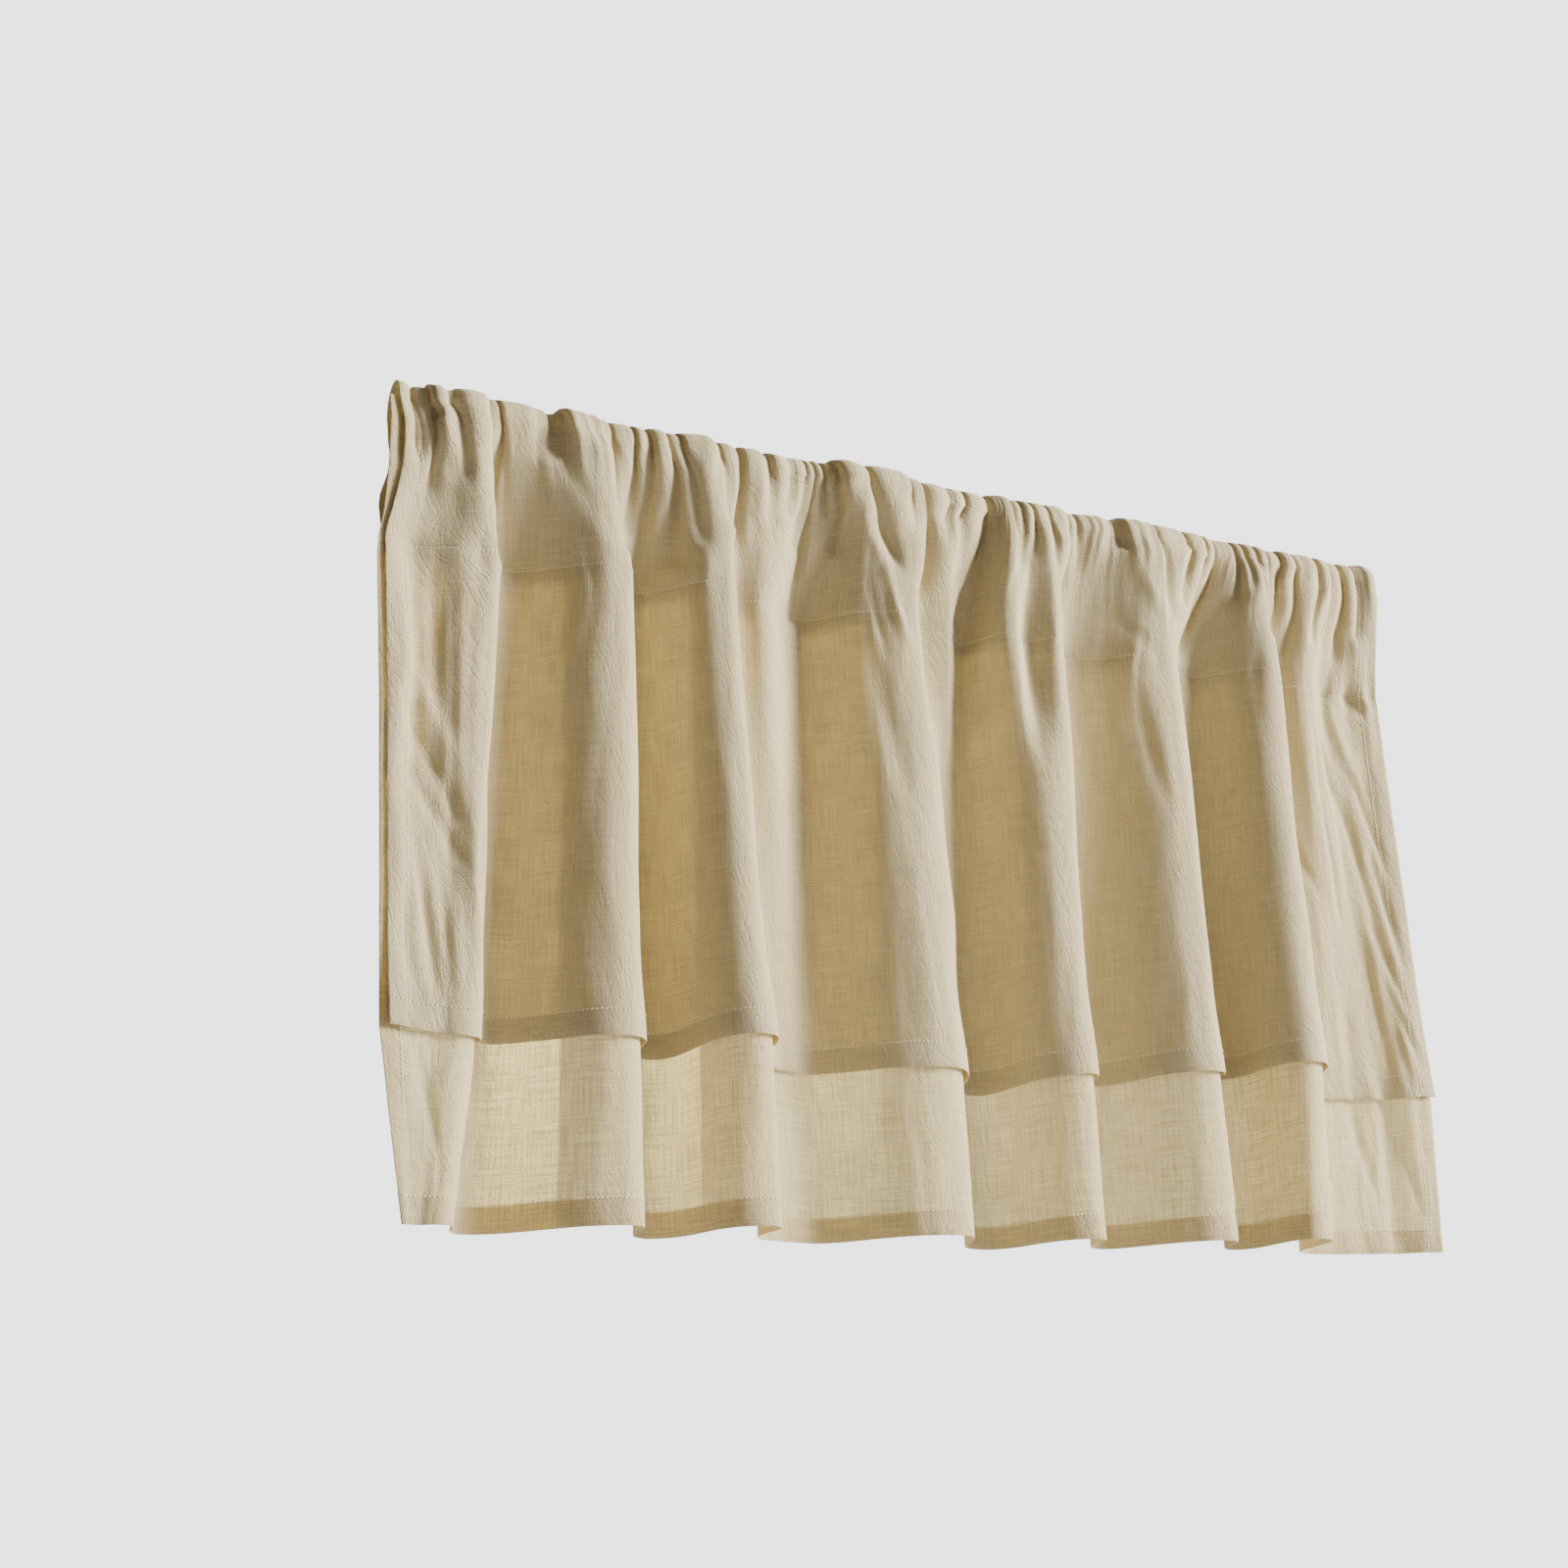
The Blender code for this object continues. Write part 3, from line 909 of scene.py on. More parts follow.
def depths_down_to(foot: float, stitches: Sequence[float], step: float) -> np.ndarray:
    """Depths of the mesh rows from the rod's axis down, closer at stitching.

    Args:
        foot: Depth of the last row.
        stitches: Depths of the rows of stitching.
        step: Distance between plain rows.

    Returns:
        The depths in rising order.
    """
    start = POCKET.top_to_axis
    plain = np.linspace(start, foot, max(2, int(round((foot - start) / step)) + 1))
    near = [line + GROOVE_REACH * np.arange(-2, 3) for line in stitches]
    close = np.concatenate(near)
    apart = np.abs(plain[:, None] - close[None, :]).min(axis=1) > GROOVE_REACH
    ends = (plain == start) | (plain == foot)
    return np.sort(np.concatenate([plain[apart | ends], close]))


@dataclass
class TierShape:
    """The cloth of both tiers, worked out from one fold plan.

    Towards the left edge, the rear wall of the pocket is skewed, the edge
    swings in above the seam and the back tier peeks out from behind the front.
    Lengths are in metres. The grooves are how far the stitches sink the cloth.
    """

    column_step: float = 0.0018
    row_step: float = 0.0056
    arch_rows: int = 10
    arch_press: float = 0.3
    tail_rows: int = 12
    tail_nested_from: float = 0.090
    tail_free_from: float = 0.100
    tail_free_over: float = 0.05
    tail_skew: float = 0.013
    skew_reach: float = 0.08
    edge_swing: float = 0.010
    swing_reach: float = 0.05
    swing_above_seam: float = 0.006
    back_peek: float = 0.005
    peek_from: float = 0.09
    peek_over: float = 0.05
    peek_reach: float = 0.06
    hem_flare: float = 0.0028
    flare_height: float = 0.07
    seam_groove: float = 0.0006
    hem_groove: float = 0.0003
    side_hem_groove: float = 0.0005
    tier_gap: float = 0.002
    seed: int = 11

    def __post_init__(self) -> None:
        """Lay out the plan and the rows of both tiers."""
        self.plan = FoldPlan(self.column_step)
        self.front_stitch = LENGTHS.front - LENGTHS.hem
        self.back_stitch = LENGTHS.back - LENGTHS.hem
        self.front_drops = depths_down_to(
            LENGTHS.front, (POCKET.seam_drop, self.front_stitch), self.row_step
        )
        self.front_x, self.front_y, _ = self.plan.rows(self.front_drops, self.seed)
        self.front_creases = crease_height(
            FRONT_CREASES, self.plan, self.front_x, self.front_drops
        )

    def hem_drop(self, drop: np.ndarray) -> np.ndarray:
        """Depths of the points once the front hem's unevenness is added.

        It grows in a straight line from the seam to the front hem.

        Args:
            drop: Depth of each row.

        Returns:
            Depths, rows by columns.
        """
        uneven = self.plan.eased(self.plan.line_drop)
        share = np.clip(
            (drop - POCKET.seam_drop) / (LENGTHS.front - POCKET.seam_drop), 0.0, 1.0
        )
        return drop[:, None] + share[:, None] * uneven[None, :]

    def skirt(self, x: np.ndarray, y: np.ndarray, drop: np.ndarray) -> np.ndarray:
        """Points of the front tier's rows that hang from the rod's axis down.

        The plan curves stand before the pocket's front wall. Above the seam,
        the left edge swings in and out again as half a sine.

        Args:
            x: Place along the rod of each point, rows by columns.
            y: Depth of the folds at each point, rows by columns.
            drop: Depth of each row below the top edge.

        Returns:
            The points, rows by columns by 3.
        """
        depth = self.hem_drop(drop)
        out = y - POCKET.half_width(drop)[:, None]
        way = np.clip(drop / self.swing_end, 0.0, 1.0)[:, None]
        drawn_in = self.edge_swing * np.sin(np.pi * way) * self.near_left(self.swing_reach)
        return np.stack([x + drawn_in, out, POCKET.top_to_axis - depth], axis=2)

    @property
    def swing_end(self) -> float:
        """Depth at which the left edge has swung out again."""
        return POCKET.seam_drop - self.swing_above_seam

    def tail(self) -> tuple[np.ndarray, np.ndarray]:
        """Points of the pocket's rear wall from its end up to the rod.

        Near the rod it mirrors the front wall's gathers, and towards the seam
        it nests behind them.

        Returns:
            The points, rows by columns by 3, and each row's depth.
        """
        end = POCKET.seam_drop + POCKET.tail_below_seam
        drop = np.linspace(end, POCKET.top_to_axis, self.tail_rows + 1)[:-1]
        x, y, main = self.plan.rows(drop, self.seed)
        stops = (POCKET.top_to_axis, self.tail_nested_from)
        nested = np.interp(drop, stops, (0.0, 1.0))[:, None]
        near_x, near_y = beside(x, y, POCKET.tail_pitch)
        tail_x = nested * near_x + (1.0 - nested) * x
        tail_y = nested * near_y + (1.0 - nested) * (2.0 * main - y)
        out = tail_y + POCKET.half_width(drop)[:, None]
        height = np.broadcast_to((POCKET.top_to_axis - drop)[:, None], x.shape)
        free = smooth_share((self.tail_free_from - drop) / self.tail_free_over)[:, None]
        tail_x = tail_x + self.tail_skew * free * self.near_left(self.skew_reach)
        return np.stack([tail_x, out, height], axis=2), drop

    def near_left(self, reach: float) -> np.ndarray:
        """A share that is 1 at the left edge and eases to 0 within a reach."""
        return 1.0 - smooth_share(self.plan.flat / reach)

    def arch(self) -> np.ndarray:
        """Points over the rod: half circles of radius less the gathers' y.

        The gathers are pressed to a share of their depth at the top, and the
        left edge moves inwards as the cloth passes behind the rod.

        Returns:
            The points from the back of the rod to its front, rows by columns by 3.
        """
        x, y = self.front_x[0], self.front_y[0]
        way = (np.arange(self.arch_rows) / self.arch_rows)[:, None]
        turn = np.pi * (1.0 - way)
        out = -(POCKET.arch_radius - y) * np.cos(turn)
        high = (POCKET.arch_radius - self.arch_press * y) * np.sin(turn)
        skew = self.tail_skew * self.near_left(self.skew_reach) * (1.0 - smooth_share(way))
        drop_share = POCKET.top_to_axis * smooth_share(way) / self.swing_end
        swing = self.edge_swing * np.sin(np.pi * drop_share) * self.near_left(self.swing_reach)
        return np.stack([x + skew + swing, out, high], axis=2)

    def front(self) -> Cloth:
        """The front tier: up behind the rod, over it, and down to its hem.

        Creases and the stitches' grooves move its points out or in, and its
        foot flares out a little.

        Returns:
            The cloth before hemming.
        """
        tail, tail_drop = self.tail()
        skirt = self.skirt(self.front_x, self.front_y, self.front_drops)
        points = np.concatenate([tail, self.arch(), skirt])
        arch_length = np.pi * POCKET.arch_radius
        arch_step = arch_length * np.arange(self.arch_rows) / self.arch_rows
        along = np.concatenate(
            [-arch_length - (tail_drop - POCKET.top_to_axis), arch_step - arch_length,
             self.front_drops - POCKET.top_to_axis]
        )
        height = np.zeros(points.shape[:2])
        groove = stitch_groove(self.front_drops, POCKET.seam_drop, self.seam_groove)
        groove += stitch_groove(self.front_drops, self.front_stitch, self.hem_groove)
        flare = (self.front_drops - LENGTHS.front) / self.flare_height + 1.0
        raise_hem = self.hem_flare * smooth_share(flare)
        height[-len(self.front_drops):] = self.front_creases + (groove + raise_hem)[:, None]
        height += self.side_groove()[None, :]
        return Cloth(points, self.plan.flat, along).raised(height)

    def back(self) -> Cloth:
        """The back tier: from inside the pocket down to the foot.

        It runs a little way behind the front tier, and gives way where the
        front tier's troughs press into it.

        Returns:
            The cloth before hemming.
        """
        lower = depths_down_to(LENGTHS.back, (self.back_stitch,), self.row_step)
        lower = lower[lower > LENGTHS.front + self.tier_gap]
        x, y, _ = self.plan.rows(lower, self.seed)
        drop = np.concatenate([self.front_drops, lower])
        all_x = np.vstack([self.front_x, x])
        all_y = np.vstack([self.front_y, y])
        out = all_y - POCKET.half_width(drop)[:, None]
        near_x, near_y = beside(all_x, out, POCKET.layer_pitch)
        depth = self.back_depth(drop)
        lowered = smooth_share((drop - self.peek_from) / self.peek_over)[:, None]
        near_x = near_x - self.back_peek * lowered * self.near_left(self.peek_reach)
        points = np.stack([near_x, near_y, POCKET.top_to_axis - depth], axis=2)
        groove = stitch_groove(drop, self.back_stitch, self.hem_groove)
        height = crease_height(BACK_CREASES, self.plan, all_x, drop)
        height += groove[:, None] + self.side_groove()[None, :]
        height[:len(self.front_drops)] += np.minimum(self.front_creases, 0.0)
        along = drop - POCKET.top_to_axis
        return Cloth(points, self.plan.flat, along).raised(height)

    def side_groove(self) -> np.ndarray:
        """Height of the grooves that the side hems' stitches pull."""
        edge = np.minimum(self.plan.flat, self.plan.flat_width - self.plan.flat)
        return stitch_groove(edge, LENGTHS.side_hem, self.side_hem_groove)

    def back_depth(self, drop: np.ndarray) -> np.ndarray:
        """Depths of the back tier's points.

        The front hem's unevenness grows down to that hem and dies out below.

        Args:
            drop: Depth of each row.

        Returns:
            Depths, rows by columns.
        """
        uneven = self.plan.eased(self.plan.line_drop)
        stops = (POCKET.seam_drop, LENGTHS.front, LENGTHS.back)
        share = np.interp(drop, stops, (0.0, 1.0, 0.0))
        return drop[:, None] + share[:, None] * uneven[None, :]


@dataclass(frozen=True)
class Colour:
    """A linear colour."""

    red: float
    green: float
    blue: float

    @property
    def rgba(self) -> tuple[float, float, float, float]:
        """The colour with full alpha."""
        return self.red, self.green, self.blue, 1.0

    def scaled(self, factor: float) -> "Colour":
        """The colour made darker or lighter by a factor."""
        return Colour(self.red * factor, self.green * factor, self.blue * factor)

    def toned(
        self, sheet: "NodeSheet", share: "Source", tones: tuple[float, float]
    ) -> bpy.types.NodeSocket:
        """The colour between a darker and a lighter tone of it.

        Args:
            sheet: The builder to add the mix with.
            share: How much of the lighter tone counts.
            tones: The factors of the darker and the lighter tone.

        Returns:
            The mixed colour.
        """
        dark, light = (self.scaled(factor).rgba for factor in tones)
        return sheet.mix(share, dark, light)


Source = Union[bpy.types.NodeSocket, float, Sequence[float]]


class Socket(NamedTuple):
    """A named socket of a node group, with its first value."""

    name: str
    kind: str = "NodeSocketFloat"
    value: float | None = None


class NodeSheet:
    """A small builder for the nodes of a group or a material."""

    def __init__(self, tree: bpy.types.NodeTree) -> None:
        """Work on a node tree."""
        self.tree = tree

    def add(self, kind: str, **settings: object) -> bpy.types.Node:
        """Add a node and set its properties.

        Args:
            kind: The node's type.
            **settings: Its properties by name.

        Returns:
            The node.
        """
        node = self.tree.nodes.new(kind)
        for name, value in settings.items():
            setattr(node, name, value)
        return node

    def feed(self, socket: bpy.types.NodeSocket, source: Source) -> None:
        """Set a socket to a number or colour, or link it to another socket.

        Args:
            socket: The input.
            source: A number, a colour or an output.
        """
        if isinstance(source, bpy.types.NodeSocket):
            self.tree.links.new(source, socket)
        else:
            socket.default_value = source

    def math(self, operation: str, *sources: Source) -> bpy.types.NodeSocket:
        """Add a Math node.

        Args:
            operation: What it does.
            *sources: Its inputs in order.

        Returns:
            Its result.
        """
        node = self.add("ShaderNodeMath", operation=operation)
        for socket, source in zip(node.inputs, sources):
            self.feed(socket, source)
        return node.outputs[0]

    def mix(self, share: Source, low: Source, high: Source) -> bpy.types.NodeSocket:
        """Mix two colours by a share.

        Args:
            share: How much of the second colour counts.
            low: The first colour.
            high: The second colour.

        Returns:
            The mixed colour.
        """
        node = self.add("ShaderNodeMix", data_type="RGBA")
        factor, first, second, result = 0, 6, 7, 2
        self.feed(node.inputs[factor], share)
        self.feed(node.inputs[first], low)
        self.feed(node.inputs[second], high)
        return node.outputs[result]

    def noise(self, vector: Source, scale: float, detail: float) -> bpy.types.NodeSocket:
        """Add a noise texture.

        Args:
            vector: Where it is read.
            scale: Its scale.
            detail: Its octaves.

        Returns:
            Its value, from 0 to 1.
        """
        node = self.add("ShaderNodeTexNoise")
        self.feed(node.inputs["Vector"], vector)
        node.inputs["Scale"].default_value = scale
        node.inputs["Detail"].default_value = detail
        return node.outputs["Fac"]

    def stretched(self, vector: Source, scale: Sequence[float]) -> bpy.types.NodeSocket:
        """Scale a vector with a Mapping node.

        Args:
            vector: The vector.
            scale: Its three factors.

        Returns:
            The scaled vector.
        """
        node = self.add("ShaderNodeMapping")
        self.feed(node.inputs["Vector"], vector)
        node.inputs["Scale"].default_value = scale
        return node.outputs[0]

    def ramp(self, value: Source, low: float, high: float) -> bpy.types.NodeSocket:
        """Map a value to a share from 0 to 1, eased at both ends.

        Args:
            value: The value.
            low: What maps to 0.
            high: What maps to 1.

        Returns:
            The share.
        """
        node = self.add("ShaderNodeMapRange", interpolation_type="SMOOTHSTEP")
        self.feed(node.inputs["Value"], value)
        node.inputs["From Min"].default_value = low
        node.inputs["From Max"].default_value = high
        return node.outputs["Result"]


def new_group(
    name: str, inputs: Sequence[Socket], outputs: Sequence[Socket]
) -> tuple[bpy.types.NodeTree, NodeSheet, bpy.types.Node, bpy.types.Node]:
    """A shader node group with named sockets.

    Args:
        name: Name of the group.
        inputs: Its inputs.
        outputs: Its outputs.

    Returns:
        The group, a builder for it, its input node and its output node.
    """
    group = bpy.data.node_groups.new(name, "ShaderNodeTree")
    for direction, sockets in (("INPUT", inputs), ("OUTPUT", outputs)):
        for socket in sockets:
            made = group.interface.new_socket(
                name=socket.name, in_out=direction, socket_type=socket.kind
            )
            if socket.value is not None:
                made.default_value = socket.value
    sheet = NodeSheet(group)
    return group, sheet, sheet.add("NodeGroupInput"), sheet.add("NodeGroupOutput")


def plain_weave_group() -> bpy.types.NodeTree:
    """Over-and-under threads, thicker and thinner along their length.

    Warp and weft are the sizes of two sines across and along the cloth. Each
    is on top where the product of the two sines is positive or negative.

    Returns:
        The group. Its outputs are Height, Tint and Gap.
    """
    group, sheet, given, made = new_group(
        "plain_weave",
        (Socket("Vector", "NodeSocketVector"), Socket("Pitch", value=0.0009)),
        (Socket("Height"), Socket("Tint"), Socket("Gap")),
    )
    vector = given.outputs["Vector"]
    pitch = given.outputs["Pitch"]
    drift_scale, drift_reach, crossing = 60.0, 0.0022, 0.25
    bend = sheet.math("SUBTRACT", sheet.noise(vector, drift_scale, 2.0), 0.5)
    waver = sheet.math("MULTIPLY", bend, drift_reach)
    split = sheet.add("ShaderNodeSeparateXYZ")
    sheet.feed(split.inputs[0], vector)
    across = sheet.math("DIVIDE", sheet.math("ADD", split.outputs[0], waver), pitch)
    along = sheet.math("DIVIDE", sheet.math("ADD", split.outputs[1], waver), pitch)
    warp = sheet.math("SINE", sheet.math("MULTIPLY", across, math.pi))
    weft = sheet.math("SINE", sheet.math("MULTIPLY", along, math.pi))
    over = sheet.ramp(sheet.math("MULTIPLY", warp, weft), -crossing, crossing)
    warp_size = sheet.math("ABSOLUTE", warp)
    weft_size = sheet.math("ABSOLUTE", weft)
    flip = sheet.math("SUBTRACT", 1.0, over)
    height = sheet.math(
        "ADD", sheet.math("MULTIPLY", warp_size, over), sheet.math("MULTIPLY", weft_size, flip)
    )
    thick, long = 900.0, 30.0
    warp_slub = sheet.noise(sheet.stretched(vector, (thick, long, 1.0)), 1.0, 2.0)
    weft_slub = sheet.noise(sheet.stretched(vector, (long, thick, 1.0)), 1.0, 2.0)
    slub = sheet.math("ADD", warp_slub, weft_slub)
    gap = sheet.math("SUBTRACT", 1.0, sheet.math("MAXIMUM", warp_size, weft_size))
    sheet.feed(made.inputs["Height"], sheet.math("MULTIPLY", height, slub))
    sheet.feed(made.inputs["Tint"], sheet.ramp(slub, 0.6, 1.4))
    sheet.feed(made.inputs["Gap"], gap)
    return group


class CreaseLayer(NamedTuple):
    """Creases of one slant: its turn in radians, their scale, and their share."""

    turn: float
    scale: tuple[float, float, float]
    share: float


CREASE_LAYERS = (
    CreaseLayer(0.06, (120.0, 14.0, 1.0), 0.6),
    CreaseLayer(0.42, (110.0, 16.0, 1.0), 1.0),
    CreaseLayer(-0.50, (100.0, 26.0, 1.0), 0.5),
)


def crumple_group() -> bpy.types.NodeTree:
    """Crumples of washed linen: long creases, slanting ones and a fine crepe.

    A crease lies where a smooth noise passes through its middle value. Its
    height is the distance of the noise from one half, up to a small limit.

    Returns:
        The group. Its output is Height, from 0 to about 0.2.
    """
    group, sheet, given, made = new_group(
        "washed_crumple", (Socket("Vector", "NodeSocketVector"),), (Socket("Height"),)
    )
    drift_scale, drift_reach, ridge_limit = 24.0, (0.02, 0.03, 0.0), 0.05
    crepe_scale, crepe_share = (800.0, 600.0, 1.0), 0.11
    vector = given.outputs["Vector"]
    drift = sheet.add("ShaderNodeTexNoise")
    sheet.feed(drift.inputs["Vector"], vector)
    sheet.feed(drift.inputs["Scale"], drift_scale)
    shift = sheet.add("ShaderNodeVectorMath", operation="MULTIPLY_ADD")
    sheet.feed(shift.inputs[0], drift.outputs["Color"])
    sheet.feed(shift.inputs[1], drift_reach)
    sheet.feed(shift.inputs[2], vector)
    crepe = sheet.noise(sheet.stretched(vector, crepe_scale), 1.0, 2.0)
    total = sheet.math("MULTIPLY", crepe, crepe_share)
    for layer in CREASE_LAYERS:
        turned = sheet.add("ShaderNodeMapping", vector_type="TEXTURE")
        sheet.feed(turned.inputs["Vector"], shift.outputs[0])
        sheet.feed(turned.inputs["Rotation"], (0.0, 0.0, layer.turn))
        value = sheet.noise(sheet.stretched(turned.outputs[0], layer.scale), 1.0, 2.0)
        ridge = sheet.math("ABSOLUTE", sheet.math("SUBTRACT", value, 0.5))
        low_ridge = sheet.math("MINIMUM", ridge, ridge_limit)
        total = sheet.math("ADD", total, sheet.math("MULTIPLY", low_ridge, layer.share))
    sheet.feed(made.inputs["Height"], total)
    return group


@dataclass(frozen=True)
class LinenFinish:
    """Washed, plain-woven linen that lets some light through.

    Depths are in metres. A tone range gives the darkest and the lightest
    factor of a colour.
    """

    name: str
    cloth: Colour
    through: Colour
    through_share: float = 0.2
    roughness: float = 0.88
    specular: float = 0.25
    sheen: float = 0.15
    weave_depth: float = 0.00022
    crumple_depth: float = 0.0055
    cloth_tones: tuple[float, float] = (0.86, 1.1)
    through_tones: tuple[float, float] = (0.62, 1.3)
    thread_share: float = 0.6
    cloud_scale: float = 9.0
    fleck_scale: float = 520.0

    def material(
        self, weave: bpy.types.NodeTree, crumple: bpy.types.NodeTree
    ) -> bpy.types.Material:
        """Build the material.

        The cloth's tone is a mix of its threads' tints and a broad cloud. The
        light that comes through is tinted by the threads and by fine flecks.

        Args:
            weave: The plain weave group.
            crumple: The washed crumple group.

        Returns:
            The new material.
        """
        material = bpy.data.materials.new(self.name)
        material.use_nodes = True
        sheet = NodeSheet(material.node_tree)
        shader = material.node_tree.nodes["Principled BSDF"]
        output = material.node_tree.nodes["Material Output"]
        flat = sheet.add("ShaderNodeUVMap", uv_map="flat_cloth").outputs[0]
        threads = sheet.add("ShaderNodeGroup", node_tree=weave)
        sheet.feed(threads.inputs["Vector"], flat)
        washed = sheet.add("ShaderNodeGroup", node_tree=crumple)
        sheet.feed(washed.inputs["Vector"], flat)
        tint = threads.outputs["Tint"]
        cloud = sheet.noise(flat, self.cloud_scale, 3.0)
        tone = sheet.math(
            "ADD",
            sheet.math("MULTIPLY", tint, self.thread_share),
            sheet.math("MULTIPLY", cloud, 1.0 - self.thread_share),
        )
        relief = sheet.math(
            "ADD",
            sheet.math("MULTIPLY", threads.outputs["Height"], self.weave_depth),
            sheet.math("MULTIPLY", washed.outputs["Height"], self.crumple_depth),
        )
        bump = sheet.add("ShaderNodeBump")
        bump.inputs["Distance"].default_value = 1.0
        sheet.feed(bump.inputs["Height"], relief)
        sheet.feed(shader.inputs["Base Color"], self.cloth.toned(sheet, tone, self.cloth_tones))
        sheet.feed(shader.inputs["Normal"], bump.outputs[0])
        shader.inputs["Roughness"].default_value = self.roughness
        shader.inputs["Specular IOR Level"].default_value = self.specular
        shader.inputs["Sheen Weight"].default_value = self.sheen
        glow = sheet.add("ShaderNodeBsdfTranslucent")
        flecks = sheet.noise(flat, self.fleck_scale, 2.0)
        open_weave = sheet.ramp(sheet.math("ADD", tint, flecks), 0.6, 1.4)
        through = self.through.toned(sheet, open_weave, self.through_tones)
        sheet.feed(glow.inputs["Color"], through)
        sheet.feed(glow.inputs["Normal"], bump.outputs[0])
        blend = sheet.add("ShaderNodeMixShader")
        blend.inputs[0].default_value = self.through_share
        sheet.feed(blend.inputs[1], shader.outputs[0])
        sheet.feed(blend.inputs[2], glow.outputs[0])
        sheet.feed(output.inputs["Surface"], blend.outputs[0])
        return material


@dataclass(frozen=True)
class ThreadFinish:
    """Twisted sewing thread."""

    name: str = "sewing thread"
    colour: Colour = Colour(0.95, 0.84, 0.56)
    tones: tuple[float, float] = (0.75, 1.1)
    fibre_scale: float = 1500.0
    roughness: float = 0.7

    def material(self) -> bpy.types.Material:
        """Build the material: its fibres make it lighter and darker.

        Returns:
            The new material.
        """
        material = bpy.data.materials.new(self.name)
        material.use_nodes = True
        sheet = NodeSheet(material.node_tree)
        shader = material.node_tree.nodes["Principled BSDF"]
        place = sheet.add("ShaderNodeTexCoord").outputs["Object"]
        fibres = sheet.noise(place, self.fibre_scale, 1.0)
        sheet.feed(shader.inputs["Base Color"], self.colour.toned(sheet, fibres, self.tones))
        shader.inputs["Roughness"].default_value = self.roughness
        return material


@dataclass
class StitchRow:
    """Machine stitches along a line on the cloth, made as one mesh."""

    pitch: float = 0.00315
    length: float = 0.0022
    half_width: float = 0.00052
    half_height: float = 0.0004
    rings: int = 5
    sides: int = 6
    end_share: float = 0.04
    stand_out: float = 0.9

    def points_along(self, line: np.ndarray, out: np.ndarray) -> tuple[np.ndarray, np.ndarray]:
        """Corner points and faces of every stitch along one line.

        A stitch is a six-sided ellipse carried along its length, with flat
        ends. Its size is the square root of the sine of the way, and its
        middle stands out of the cloth by most of its half height.

        Args:
            line: Points of the line on the cloth.
            out: Outward direction at each point.

        Returns:
            Vertices and quads.
        """
        away = np.append(0.0, np.cumsum(np.linalg.norm(np.diff(line, axis=0), axis=1)))
        count = int(away[-1] / self.pitch) - 1
        start = self.pitch * (0.5 + np.arange(count))
        way = np.linspace(0.0, 1.0, self.rings)
        at = start[:, None] + self.length * way[None, :]
        centre = np.stack([np.interp(at, away, line[:, k]) for k in range(3)], axis=2)
        normal = np.stack([np.interp(at, away, out[:, k]) for k in range(3)], axis=2)
        normal /= np.linalg.norm(normal, axis=2, keepdims=True)
        ahead = centre[:, -1:] - centre[:, :1]
        ahead /= np.linalg.norm(ahead, axis=2, keepdims=True)
        aside = np.cross(normal, ahead)
        inner = self.end_share + (1.0 - 2.0 * self.end_share) * way
        size = np.sqrt(np.sin(np.pi * inner))[None, :, None, None]
        turn = 2.0 * np.pi * np.arange(self.sides) / self.sides
        wide = (self.half_width * np.cos(turn))[None, None, :, None] * aside[:, :, None, :]
        tall = (self.half_height * np.sin(turn))[None, None, :, None] * normal[:, :, None, :]
        lift = self.half_height * self.stand_out * np.sin(np.pi * way)[None, :, None, None]
        vertices = centre[:, :, None, :] + size * (wide + tall) + lift * normal[:, :, None, :]
        block = self.rings * self.sides
        faces = self.faces()[None] + block * np.arange(count)[:, None, None]
        return vertices.reshape(-1, 3), faces.reshape(-1, 4)

    def faces(self) -> np.ndarray:
        """Quads of one stitch: the wall between its rings and its two ends.

        Returns:
            The quads, with every face outwards.
        """
        ring, side = np.meshgrid(np.arange(self.rings - 1), np.arange(self.sides), indexing="ij")
        corner = ring * self.sides + side
        beyond = ring * self.sides + (side + 1) % self.sides
        wall = np.stack([corner, beyond, beyond + self.sides, corner + self.sides], axis=2)
        near_end = np.array(((3, 2, 1, 0), (5, 4, 3, 0)))
        last_ring = (self.rings - 1) * self.sides
        far_end = last_ring + np.array(((0, 1, 2, 3), (0, 3, 4, 5)))
        return np.concatenate([wall.reshape(-1, 4), near_end, far_end])


def joined_object(
    name: str, parts: Sequence[tuple[np.ndarray, np.ndarray]]
) -> bpy.types.Object:
    """One mesh object from several lots of vertices and quads.

    Args:
        name: Name of the object and its mesh.
        parts: The lots.

    Returns:
        The new object, in the scene.
    """
    offset = 0
    all_faces = []
    for vertices, faces in parts:
        all_faces.append(faces + offset)
        offset += len(vertices)
    all_vertices = np.concatenate([vertices for vertices, _ in parts])
    mesh = bpy.data.meshes.new(name)
    mesh.from_pydata(all_vertices, [], np.concatenate(all_faces).tolist())
    mesh.shade_smooth()
    piece = bpy.data.objects.new(name, mesh)
    bpy.context.scene.collection.objects.link(piece)
    return piece


